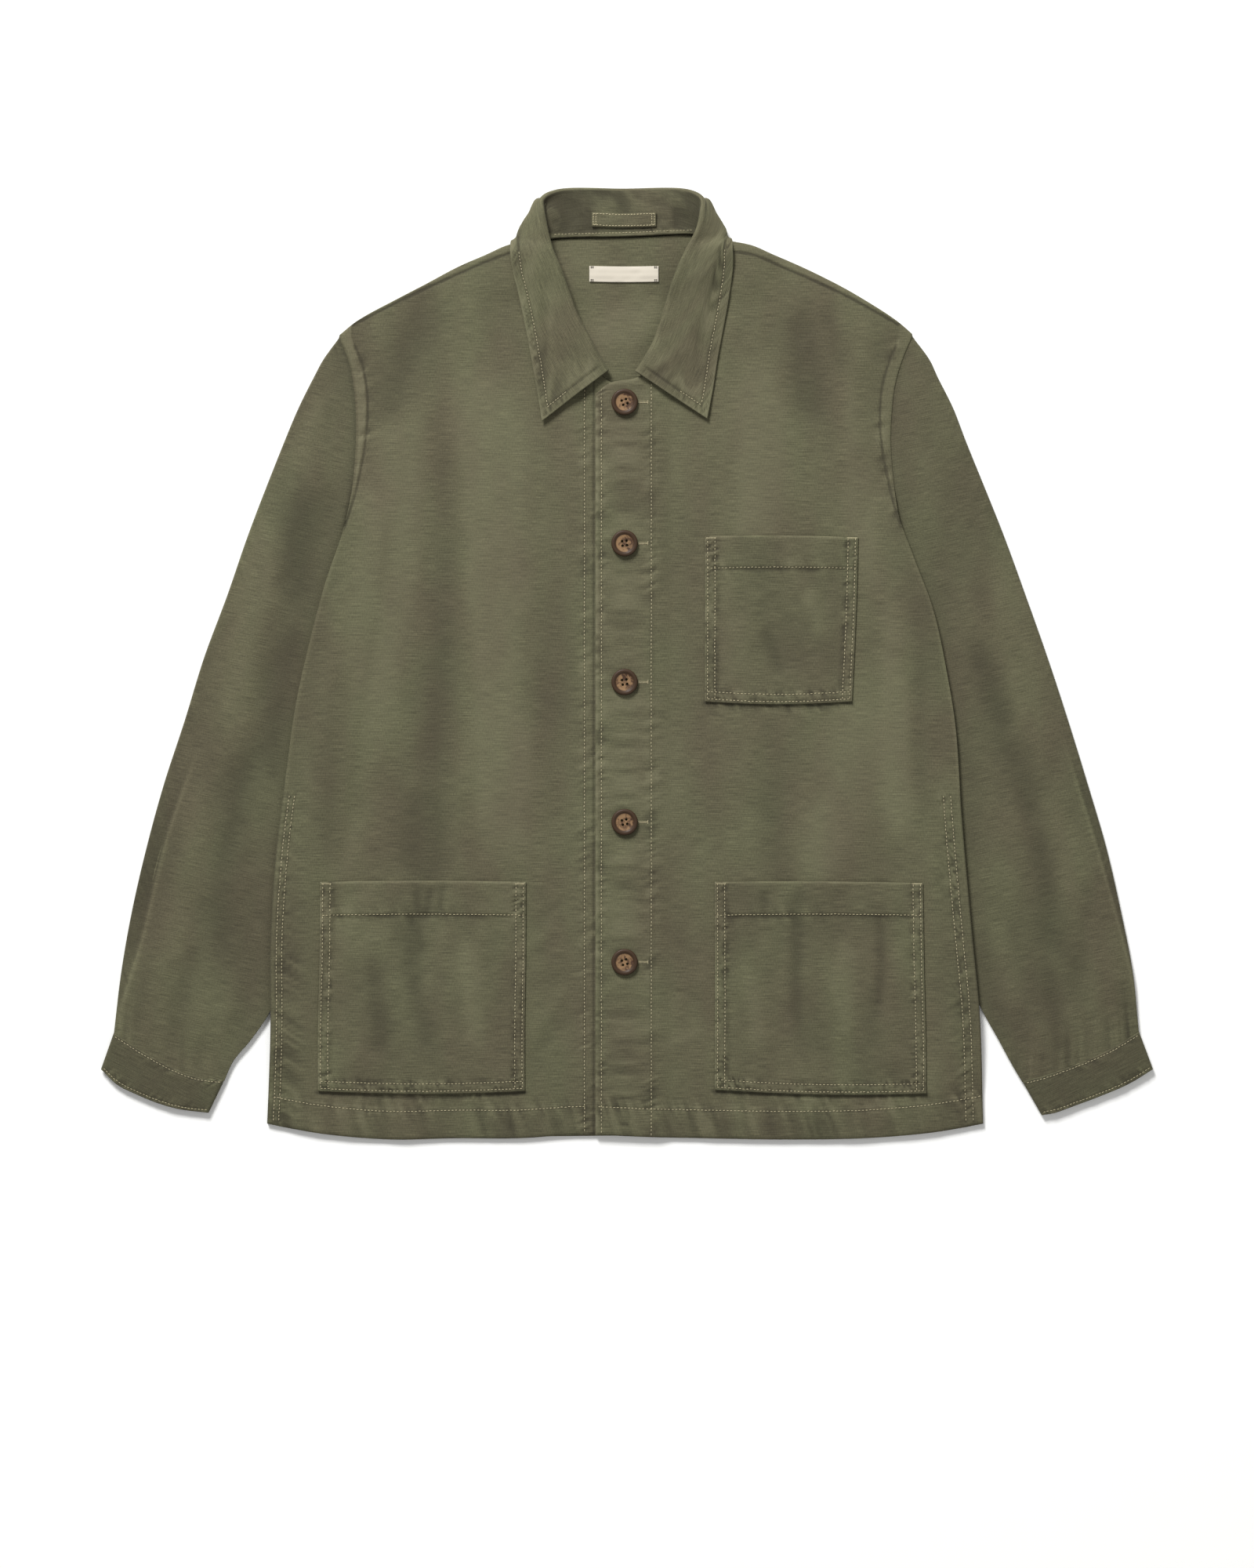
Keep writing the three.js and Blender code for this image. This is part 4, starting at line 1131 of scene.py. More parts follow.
# ---- body
@dataclass
class FrontPanel:
    """One front: turned front edge, turned hem, side seam, large and small folds."""

    side: Side
    edge_x: float
    creases: tuple[Fold, ...]
    rows: tuple[StitchRow, ...]
    seed: int
    fine: float = 1.15
    coarse: float = 2.6
    length: float = 610.0
    # Columns up to here run straight down; the rest fan out to the side seam.
    straight_to: float = 34.0

    @property
    def sign(self) -> int:
        """+1 on the wearer's left."""
        return self.side.value

    @property
    def laps(self) -> bool:
        """The left front lies on the right one."""
        return self.side is Side.LEFT

    def plan(self) -> Array:
        """Grid of places from the front edge to the side, neck to hem.

        Returns:
            Rows of places, x and y last.
        """
        hem_end = BODY_EDGE[self.side].points[-1][0]
        width = abs(hem_end - self.edge_x)
        placket = (0.0, 60.0) if self.laps else (30.0, 36.0)
        u = graded(width, self.fine, self.coarse, [placket, (width, 16)])
        v = graded(self.length, self.fine, self.coarse, [(self.length - 10, 42), (0, 12)])
        shoulder = Line([(p[0], p[1] + 2.0) for p in SHOULDER[self.side].points][::-1])
        neck = FRONT_NECK[self.side]
        chain = np.concatenate([neck.dense, shoulder.dense[1:]])
        chain[-1] = BODY_EDGE[self.side].points[0]
        x_hem = self.edge_x + (hem_end - self.edge_x) * u
        pivot = self.straight_to * self.sign
        fanned = pivot + (x_hem - pivot) * (chain[-1][0] - pivot) / (hem_end - pivot)
        x_top = np.where(x_hem * self.sign < self.straight_to, x_hem, fanned)
        order = np.argsort(chain[:, 0])
        top = np.stack([x_top, np.interp(x_top, chain[order, 0], chain[order, 1])], -1)
        hem = np.stack([x_hem, HEM[self.side].y_at(x_hem)], -1)
        flat = mix(top[None], hem[None], v[:, None, None])
        bulge = BODY_EDGE[self.side].at(v) - mix(top[-1], hem[-1], v[:, None])
        return flat + (u**BULGE)[None, :, None] * bulge[:, None]

    def height(self, x: Array, y: Array) -> Array:
        """Middle of the cloth with its large folds, without the seams.

        Args:
            x: Places, any shape.
            y: The same shape.

        Returns:
            Heights over the floor.
        """
        base = LAY.lap_mid(x, y) if self.laps else LAY.front_mid(x, y)
        inside = smooth((inward(BODY_EDGE, x, y) - 3) / 30) * smooth((np.abs(x - BUTTON_X) - 22) / 22)
        soft = Undulation(self.seed).at(x, y) + sum(crease.at(x, y) for crease in self.creases)
        return base + inside * np.maximum(soft, -0.85 * LAY.loft(x, y) - 0.12)

    def layers(self, x: Array, y: Array) -> tuple[Array, Array, Array, Array]:
        """The plain steps of doubled cloth, which neither rub nor shade it.

        Args:
            x: Places, any shape.
            y: The same shape.

        Returns:
            Heights of the turned hem, the front edge, the felled side seam and the felled armhole.
        """
        above_hem = y - HEM[self.side].y_at(x)
        hem = TURNED * (1 - smooth((above_hem - HEM_DEPTH + 0.8) / 1.8))
        edge = 0.3 * smooth((x - FACING_STITCH + 2.6) / 1.5)
        if self.laps:
            edge = TURNED * (1 - smooth((x - PLACKET_STITCH - 1.2) / 1.8))
        from_side = inward(BODY_EDGE, x, y)
        fell = 0.45 * smooth((SIDE_STITCH_Y - y) / 30) * (1 - smooth((from_side - 9) / 1.4))
        armhole = smooth((y - UNDERARM_Y) / 20) * 0.55 * (1 - smooth((from_side - felled_width(y)) / 1.2))
        return hem, edge, fell, armhole

    def detail(self, x: Array, y: Array) -> Array:
        """Turned edges, felled seams, stitch grooves and puckers.

        Args:
            x: Places, any shape.
            y: The same shape.

        Returns:
            Heights over the smooth cloth.
        """
        hem, edge, fell, armhole = self.layers(x, y)
        above_hem = y - HEM[self.side].y_at(x)
        from_side = inward(BODY_EDGE, x, y)
        hem = hem + 0.13 * ripple(x + 0.3 * above_hem, 17.0, self.seed + 40) * bell(above_hem - 10, 14)
        if self.laps:
            cross = noise(x, y, (26.0, 4.2), self.seed + 50) * bell(x + 3, 24) * 0.16
            edge = edge + cross + 0.24 * ripple(y, 7.0, self.seed + 51) * bell(x - PLACKET_EDGE, 4)
        below = smooth((SIDE_STITCH_Y - y) / 30)
        ladder = 0.3 * ripple(y + 0.7 * from_side, 4.8, self.seed + 60)
        ladder = ladder * bell(from_side - sum(SIDE_ROWS[self.side]) / 2, 3.4) * below
        beside = 0.12 * ripple(y + 0.6 * from_side, 9.0, self.seed + 61) * bell(from_side - 16, 10) * below
        rows = sum(row.relief(x, y) for row in self.rows)
        return np.maximum(hem, edge) + fell * smooth(from_side / 1.5) + armhole + (ladder + beside) + rows

    def make(self) -> Piece:
        """Makes the panel.

        Returns:
            The object.
        """
        grid = self.plan()
        x, y = grid[..., 0], grid[..., 1]
        detail = self.detail(x, y)
        middle = np.dstack([x, y, self.height(x, y)])
        hem, edge, fell, armhole = self.layers(x, y)
        steps = np.maximum(hem, edge) + armhole + fell
        soft = sum(fold.at(x, y) for fold in LAY.folds + self.creases) + 0.6 * Undulation(self.seed).at(x, y)
        from_side = inward(BODY_EDGE, x, y)
        # Painted shade in seam grooves and fold troughs, painted highlight on ridges, and painted shade
        # darkening towards the side edge and the hem.
        worn = wear_and_shading_of(detail - steps) + fold_shading_of(soft) - 0.26 * bell(from_side, 30)
        worn = worn - 0.26 * bell(y - HEM[self.side].y_at(x), 26)
        band = smooth((y - UNDERARM_Y) / 20) * (1 - smooth((from_side - felled_width(y) + 0.8) / 1.2))
        worn = worn + (0.3 if self.laps else 0.62) * band * smooth((from_side - 1.0) / 1.5)
        # Painted highlight along the side edge below the underarm, where the front lies over the sleeve.
        worn = worn + 0.4 * smooth((UNDERARM_Y + 6 - y) / 30) * bell(from_side - 1, 1.6)
        # A lighter strip of the back's cloth above the shoulder seam, and painted shade in the seam line.
        above_seam = y - SHOULDER_SEAM[self.side].y_at(x)
        at_shoulder = smooth((y - 268) / 10) * smooth((np.abs(x) - 80) / 4)
        worn = worn + at_shoulder * (0.4 * smooth((above_seam - 0.9) / 1.0) - 0.5 * bell(above_seam, 1.3))
        # Painted highlight along the rolled edge of the lapping front.
        if self.laps:
            worn = worn + 0.5 * bell(x - PLACKET_EDGE - 0.8, 1.4)
        shell = ClothShell(middle, WALL, detail, (40.0 * self.sign, 400.0), True, worn=worn)
        name = f"front_{self.side.name.lower()}"
        piece = polish(shell.make(f"{name}_cloth"), CLOTH, "cloth", [name])
        return piece


@dataclass
class BackPanel:
    """The back: its inside shows in the neck, its outside lies on the floor."""

    seed: int = 71
    fine: float = 2.0
    coarse: float = 4.6
    width: float = 590.0
    length: float = 700.0
    # How far the back wraps forward past the shoulder line, and how high that lip stands.
    wrap: float = 2.7
    lip: float = 2.5

    def plan(self) -> Array:
        """Grid of places from the right side to the left, neck to hem.

        Returns:
            Rows of places, x and y last.
        """
        u = graded(self.width, self.fine, self.coarse, [(0, 10), (self.width, 10), (200, 5), (385, 5)])
        v = graded(self.length, self.fine, self.coarse, [(0, 60), (self.length - 10, 34)])
        (hem_start, _), (hem_stop, _) = BACK_HEM.points[0], BACK_HEM.points[-1]
        x_hem = hem_start + (hem_stop - hem_start) * u
        parts = [SHOULDER[Side.RIGHT].dense, BACK_NECK.dense[1:], SHOULDER[Side.LEFT].dense[::-1][1:]]
        chain = np.concatenate(parts)
        (top_start, _), (top_stop, _) = (SHOULDER[side].points[0] for side in Side)
        x_top = top_start + (top_stop - top_start) * u
        top = np.stack([x_top, np.interp(x_top, chain[:, 0], chain[:, 1])], -1)
        tangent = np.gradient(top, axis=0)
        outwards = np.stack([-tangent[:, 1], tangent[:, 0]], -1)
        outwards /= np.linalg.norm(outwards, axis=1, keepdims=True)
        reach = self.wrap * smooth((np.abs(x_top + 3.5) - 60) / 40) * np.sin(np.pi * u) ** 0.5
        top = top + outwards * reach[:, None]
        hem = np.stack([x_hem, BACK_HEM.y_at(x_hem)], -1)
        flat = mix(top[None], hem[None], v[:, None, None])
        for side, share in ((Side.RIGHT, (1 - u)), (Side.LEFT, u)):
            end = 0 if side is Side.RIGHT else -1
            bulge = BODY_EDGE[side].at(v) - mix(top[end], hem[end], v[:, None])
            flat = flat + (share**BULGE)[None, :, None] * bulge[:, None]
        return flat

    def make(self) -> Piece:
        """Makes the panel.

        Returns:
            The object.
        """
        grid = self.plan()
        x, y = grid[..., 0], grid[..., 1]
        height = LAY.back_mid(x, y)
        right, left = (SHOULDER[side].y_at for side in Side)
        shoulder = np.where(x < 0, right(np.minimum(x, -80)), left(np.maximum(x, 73)))
        reach = np.abs(x + 3.5)
        lip = smooth((reach - 96) / 14) * smooth((236 - reach) / 14)
        height = height + lip * self.lip * smooth((y - shoulder + 1.2) / 3.4)
        in_neck = bell(x + 3, 64) * smooth((y - 228) / 40)
        soft = 0.5 * noise(x, y, (38, 26), self.seed, 20) + 0.12 * noise(x, y, (10, 8), self.seed + 1)
        above_hem = y - BACK_HEM.y_at(x)
        relief = in_neck * soft + 0.2 * (1 - smooth((above_hem - 24) / 2))
        under = -0.22 * bell(above_hem - HEM_STITCH, 1.3)
        under = under + 0.12 * (ripple(x, 9.0, 5) - 1) * bell(above_hem - 12, 12)
        middle = np.dstack([x, y, height])
        # Painted highlight and painted shade from the relief inside the neck and at the hem.
        worn = wear_and_shading_of(relief * 0.25)
        shell = ClothShell(middle, WALL, relief, (0.0, 1900.0), True, thin=1, worn=worn, far_relief=-under)
        piece = polish(shell.make("back_cloth"), CLOTH, "cloth", ["back"])
        return piece


# ---- patch pockets
@dataclass
class PatchPocket:
    """A patch pocket: turned edges sewn twice round, a turned top band, an easy mouth."""

    name: str
    panel: FrontPanel
    left: Points
    right: Points
    band: float
    creases: tuple[Fold, ...]
    seed: int
    inset: Pair = (2.2, 8.2)
    band_bow: float = 0.9
    mouth: float = 0.9
    wall: float = 1.3

    def plan(self) -> Array:
        """Grid of places from the top left corner.

        Returns:
            Rows of places, x and y last.
        """
        left, right = Line(self.left), Line(self.right)
        width = self.right[0][0] - self.left[0][0]
        length = self.left[0][1] - self.left[-1][1]
        u = graded(width, 1.15, 2.2, [(0, 11), (width, 11)])
        v = graded(length, 1.15, 2.2, [(0, 30), (length, 11)])
        a, b = left.at(v), right.at(v)
        grid = mix(a[:, None], b[:, None], u[None, :, None])
        sag = 1.8 * np.sin(np.pi * u)[None, :]
        grid[..., 1] += sag * (1 - v)[:, None] * 0.5 - sag * v[:, None] * 1.3
        return grid

    def frame_lines(self, inset: float) -> list[Line]:
        """Lines along both sides and the bottom, inset from the edge; they cross at the corners.

        Args:
            inset: How far inside the edge.

        Returns:
            The three lines.
        """
        left, right = Line(self.left), Line(self.right)
        share = np.linspace(0.004, 0.988, 9)
        inwards = ((left, inset), (right, -inset))
        sides = [Line([(p[0] + step, p[1]) for p in edge.at(share)]) for edge, step in inwards]
        (ax, ay), (bx, by) = self.left[-1], self.right[-1]
        low = [
            (mix(ax + 1.6, bx - 1.6, t), mix(ay, by, t) + inset - 2.34 * math.sin(math.pi * t))
            for t in np.linspace(0, 1, 9)
        ]
        return sides + [Line(low)]

    def rows(self) -> list[StitchRow]:
        """Both rows round the pocket and the row under the band.

        Returns:
            The rows.
        """
        rows = [
            StitchRow(
                line, sink=0.38, groove=0.9, pucker=0.36, pitch=4.4, reach=2.8, seed=self.seed + 3 * k + n
            )
            for k, inset in enumerate(self.inset)
            for n, line in enumerate(self.frame_lines(inset))
        ]
        (lx, _), (rx, _) = self.left[0], self.right[0]
        shares = np.linspace(0, 1, 7)
        band = [(mix(lx + 1, rx - 1, t), self.band + self.band_bow * math.sin(math.pi * t)) for t in shares]
        return rows + [StitchRow(Line(band), pucker=0.1, pitch=12.0, reach=8.0, seed=self.seed + 5)]

    def make(self) -> Piece:
        """Makes the pocket.

        Returns:
            The object.
        """
        grid = self.plan()
        x, y = grid[..., 0], grid[..., 1]
        across, down = measured(grid)
        edge = np.minimum.reduce([across, across[:, -1:] - across, down[-1:] - down])
        doubled = 0.5 * (1 - smooth((edge - 9.0) / 1.6))
        above_band = y - self.band - self.band_bow * np.sin(np.pi * across / across[:, -1:])
        band = TURNED * smooth((above_band + 1.4) / 1.8)
        share = across / across[:, -1:]
        mouth = self.mouth * smooth(share * 5) * smooth((1 - share) * 5) * bell(down, 26)
        body = 0.7 * smooth((edge - 8) / 22)
        creases = 2.1 * sum(crease.at(x, y) for crease in self.creases)
        soft = Undulation(self.seed, 0.34, (30.0, 46.0)).at(x, y) + creases
        soft = soft * smooth((edge - 3) / 14)
        rows = sum(row.relief(x, y) for row in self.rows())
        steps = np.maximum(doubled, band)
        height = self.panel.height(x, y) + LAYER + mouth + np.maximum(body + soft, -0.15)
        start = (300.0 + self.seed * 37, 500.0)
        beside = 0.7 + 0.5 * noise(x, y, (11.0, 11.0), self.seed + 90)
        # Painted highlight along the turned edges and the mouth, painted shade inside the inner row and under
        # the band, uneven in strength; a little darker overall.
        worn = wear_and_shading_of(rows) + fold_shading_of(1.4 * soft) - 0.1
        worn = worn + 0.5 * bell(edge - 0.5, 0.9) + 0.4 * bell(down - 0.5, 0.9)
        worn = worn - beside * (0.42 * bell(edge - 10.6, 1.8) + 0.85 * bell(above_band + 1.9, 1.3))
        shell = ClothShell(np.dstack([x, y, height]), self.wall, steps + rows, start, True, worn=worn)
        piece = polish(shell.make(f"{self.name}_cloth"), CLOTH, "cloth", [self.name])
        return piece


# ---- sleeves and cuffs
@dataclass
class Tube:
    """Flat tube of cloth lying on the floor, open at both ends."""

    plan: Array
    top: Array
    wall: float
    relief: Array
    fold: float = 2.2
    worn: Array | None = None

    def make(self, name: str, start: Pair, grain: float) -> Piece:
        """Makes the tube.

        Args:
            name: Name of the piece.
            start: Place of its corner on the cloth pattern.
            grain: Angle of the weft in degrees.

        Returns:
            The object.
        """
        across, down = measured(self.plan)
        width = across[:, -1:]
        edge = np.minimum(across, width - across)
        arc = np.sqrt(1 - (1 - np.clip(edge / self.fold, 0, 1)) ** 2)
        half = self.top / 2
        plan = MeshPlan()
        upper = np.dstack([self.plan, half + half * arc + self.relief * smooth(edge / 3)])
        cos, sin = math.cos(math.radians(grain)), math.sin(math.radians(grain))
        x, y = self.plan[..., 0], self.plan[..., 1]
        pattern = np.stack([cos * x + sin * y + start[0], cos * y - sin * x + start[1]], -1)
        top = plan.add(upper, pattern, self.worn)
        plan.skin(top)
        cols = self.kept(across.mean(0))
        lower = np.dstack([self.plan, half * (1 - arc)])[:, cols]
        mirrored = pattern[:, cols] * np.array([-1.0, 1.0])
        below = plan.add(lower, mirrored)
        below = np.concatenate([top[:, :1], below, top[:, -1:]], 1)
        plan.skin(below[:, ::-1])
        outer = np.concatenate([top, below[:, ::-1][:, 1:]], 1)
        rows = np.unique(np.append(np.arange(0, len(self.plan), 6), len(self.plan) - 1))
        inner_top, inner_low = self.inside(edge, half, arc)
        pick = np.ix_(rows, cols)
        numbers = plan.add(inner_top[pick], pattern[pick])
        others = plan.add(inner_low[pick], mirrored[rows])
        inner = np.concatenate([numbers, others[:, ::-1], numbers[:, :1]], 1)
        plan.skin(inner)
        plan.zip(outer[0], inner[0])
        plan.zip(outer[-1], inner[-1])
        return plan.make(name)

    def kept(self, run: Array) -> Array:
        """Columns of the far side and the inside."""
        inside = np.flatnonzero((run > self.wall + 0.2) & (run < run[-1] - self.wall - 0.2))
        return np.unique(np.concatenate([inside[:3], inside[::6], inside[-3:]]))

    def inside(self, edge: Array, half: Array, arc: Array) -> tuple[Array, Array]:
        """Upper and lower faces of the inside.

        Args:
            edge: Distance from the nearer fold.
            half: Half of the tube's height.
            arc: Roundness of the folds.

        Returns:
            Both faces, as grids of points.
        """
        reach = np.clip((edge - self.wall) / self.fold, 0, 1)
        bend = np.sqrt(1 - (1 - reach) ** 2)
        gap = np.maximum(half - self.wall, 0.15)
        return np.dstack([self.plan, half + gap * bend]), np.dstack([self.plan, half - gap * bend])


@dataclass
class Sleeve:
    """A sleeve laid flat, its inner edge tucked under the body."""

    side: Side
    folds: tuple[Fold, ...]
    roll: Line
    seed: int
    fine: float = 1.3
    coarse: float = 2.5
    flat: float = 3.6
    loft: float = 2.4
    width: float = 190.0
    length: float = 590.0
    wall: float = 0.9
    # Where its cloth lies on the pattern, and how its weft is turned.
    cloth_start: float = 700.0
    grain: float = 12.2

    def plan(self) -> Array:
        """Grid of places from the outer fold to the inner one, armhole to wrist.

        Returns:
            Rows of places, x and y last.
        """
        sign = self.side.value
        seam = BODY_EDGE[self.side].dense
        seam = seam[seam[:, 1] > SLEEVE_INNER[self.side].points[0][1]]
        hidden = SLEEVE_INNER[self.side].dense
        hidden = hidden[hidden[:, 1] > SLEEVE_INNER[self.side].points[2][1]]
        armhole = Line(np.concatenate([seam, hidden[1:]])[::6])
        u = graded(self.width, self.fine, self.coarse, [(0, 17)])
        v = graded(self.length, self.fine, self.coarse, [(0, 12), (self.length, 30)])
        first = armhole.at(u) - np.array([sign * 0.9, 0]) * smooth((0.85 - u) / 0.1)[:, None]
        last = CUFF_SEAM[self.side].at(u) + np.array([0.0, -0.5])
        outer = SLEEVE_OUTER[self.side].at(v)
        underarm = armhole.points[-1]
        inner = SLEEVE_INNER[self.side].dense
        inner = Line(np.concatenate([[underarm], inner[inner[:, 1] < underarm[1]]])[::6]).at(v)
        first[0], last[0], last[-1] = outer[0], outer[-1], inner[-1]
        first[-1] = inner[0]
        a, b = u[None, :, None], v[:, None, None]
        ruled = mix(outer[:, None], inner[:, None], a) + mix(first[None], last[None], b)
        corners = mix(mix(first[0], first[-1], u[:, None])[None], mix(last[0], last[-1], u[:, None])[None], b)
        return ruled - corners

    def make(self) -> Piece:
        """Makes the sleeve.

        Returns:
            The object.
        """
        grid = self.plan()
        x, y = grid[..., 0], grid[..., 1]
        across, down = measured(grid)
        share, along = across / across[:, -1:], down / down[-1:]
        below_arm = y < SLEEVE_INNER[self.side].points[0][1]
        outside = -inward(BODY_EDGE, x, y)
        outside = np.where(below_arm, np.minimum(outside, -inward(SLEEVE_INNER, x, y)), outside)
        free = smooth(share / 0.25) * smooth((outside - 9) / 34)
        ease = free * smooth(along / 0.12) * mix(1, 0.35, smooth((along - 0.9) / 0.1))
        soft = Undulation(self.seed, 0.55, (34.0, 80.0), 14.0 * -self.side.value).at(x, y)
        folds = 1.25 * sum(fold.at(x, y) for fold in self.folds)
        beyond = self.side.value * (x - self.roll.x_at(y))
        (_, start), (_, stop) = self.roll.points[0], self.roll.points[-1]
        lasting = smooth((start - y) / 60) * smooth((y - stop) / 30)
        rolled = lasting * (1 - smooth((beyond + 2.2) / 3.2)) * bell(beyond, 20)
        top = self.flat - 0.5 * (1 - smooth(along / 0.03)) + ease * np.maximum(self.loft + folds, 0.2)
        top = top + 1.5 * rolled
        reach = smooth((outside - 2) / 16) * smooth(share / 0.12) * smooth(along / 0.04)
        gathers = 0.32 * ripple(across, 13.0, self.seed + 5) * bell(down[-1:] - down, 26)
        gathers = gathers * smooth(share / 0.1)
        seam = 0.2 * ripple(down * 0 + across, 9.0, self.seed + 8) * bell(down, 9)
        outer_seam = 0.1 * ripple(down, 10.0, self.seed + 6) * bell(across - 4, 6)
        relief = reach * (soft + gathers + seam) + outer_seam
        relief = np.maximum(relief, -np.minimum(0.6, 0.5 * np.maximum(top - 2.4, 0)))
        # Painted shade over the whole sleeve, more towards the body, and in the armhole seam line.
        worn = wear_and_shading_of(0.4 * (gathers + outer_seam)) + fold_shading_of(0.9 * folds + 0.6 * soft)
        seam_shade = 0.4 if self.side is Side.RIGHT else 0.15
        worn = worn - 0.22 - 0.14 * bell(outside, 12)
        worn = worn - seam_shade * bell(outside, 2.4) * smooth((y - 100) / 20)
        # Painted highlight along the rolled fold and painted shade on the band beyond it.
        worn = worn + lasting * (0.4 * bell(beyond + 2.6, 1.8) - 0.42 * smooth((beyond + 2) / 2.5))
        tube = Tube(grid, top, self.wall, relief, worn=worn)
        name, sign = f"sleeve_{self.side.name.lower()}", self.side.value
        made = tube.make(f"{name}_cloth", (self.cloth_start * sign, 0.0), self.grain * sign)
        piece = polish(made, CLOTH, "cloth", [name])
        return piece


@dataclass
class Cuff:
    """A turned cuff: doubled cloth with a row of stitches along each edge."""

    side: Side
    seed: int
    thick: float = 5.2
    wall: float = 2.2
    width: float = 104.0
    depth: float = 31.0
    # Where its cloth lies on the pattern, and how its weft is turned.
    cloth_start: float = 1100.0
    grain: float = 25.0

    def plan(self) -> Array:
        """Grid of places from the outer fold to the inner one, seam to edge.

        Returns:
            Rows of places, x and y last.
        """
        u = graded(self.width, 1.2, 1.8, [(0, 6), (self.width, 6)])
        v = graded(self.depth, 0.9, 1.3, [(0, 6), (self.depth, 6)])
        seam, bottom = CUFF_SEAM[self.side].at(u), CUFF_BOTTOM[self.side].at(u)
        return mix(seam[None], bottom[None], v[:, None, None])

    def make(self) -> Piece:
        """Makes the cuff.

        Returns:
            The object.
        """
        grid = self.plan()
        across, down = measured(grid)
        from_seam, from_edge = down, down[-1:] - down
        share = across / across[:, -1:]
        sides = smooth(share / 0.05) * smooth((1 - share) / 0.05)
        end = np.minimum(from_seam, from_edge)
        round_off = -1.0 * (1 - np.sqrt(1 - (1 - np.clip(end / 1.3, 0, 1)) ** 2))
        rows = sides * (
            -0.28 * bell(from_seam - 2.2, 1.0)
            - 0.3 * bell(from_edge - 2.4, 1.0)
            + 0.16 * ripple(across + from_seam, 6.5, self.seed) * bell(from_seam - 2, 5)
            + 0.24 * ripple(across - 0.5 * from_edge, 6.0, self.seed + 1) * bell(from_edge - 2.5, 5)
        )
        x, y = grid[..., 0], grid[..., 1]
        soft = sides * Undulation(self.seed, 0.22, (22.0, 15.0)).at(x, y)
        # Painted shade over the whole cuff, and painted highlight along its edge and its seam.
        worn = wear_and_shading_of(rows) - 0.6 + 0.5 * bell(from_edge - 1, 1.0) + 0.4 * bell(from_seam - 0.8, 0.9)
        tube = Tube(grid, np.full(x.shape, self.thick), self.wall, rows + soft + round_off, worn=worn)
        name, sign = f"cuff_{self.side.name.lower()}", self.side.value
        made = tube.make(f"{name}_cloth", (self.cloth_start * sign, 0.0), self.grain * sign)
        piece = polish(made, CLOTH, "cloth", [name])
        return piece


# ---- collar
@dataclass(frozen=True)
class Cut:
    """One cut through the collar: places seen from above, and heights."""

    roll: Pair
    bend: Pair
    edge: Pair
    seam: Pair


@dataclass(frozen=True)
class Rise:
    """Heights of a cut: roll centre, turn of the roll, bend, under the bend, free edge."""

    roll: float
    turn: float
    bend: float
    under: float
    edge: float


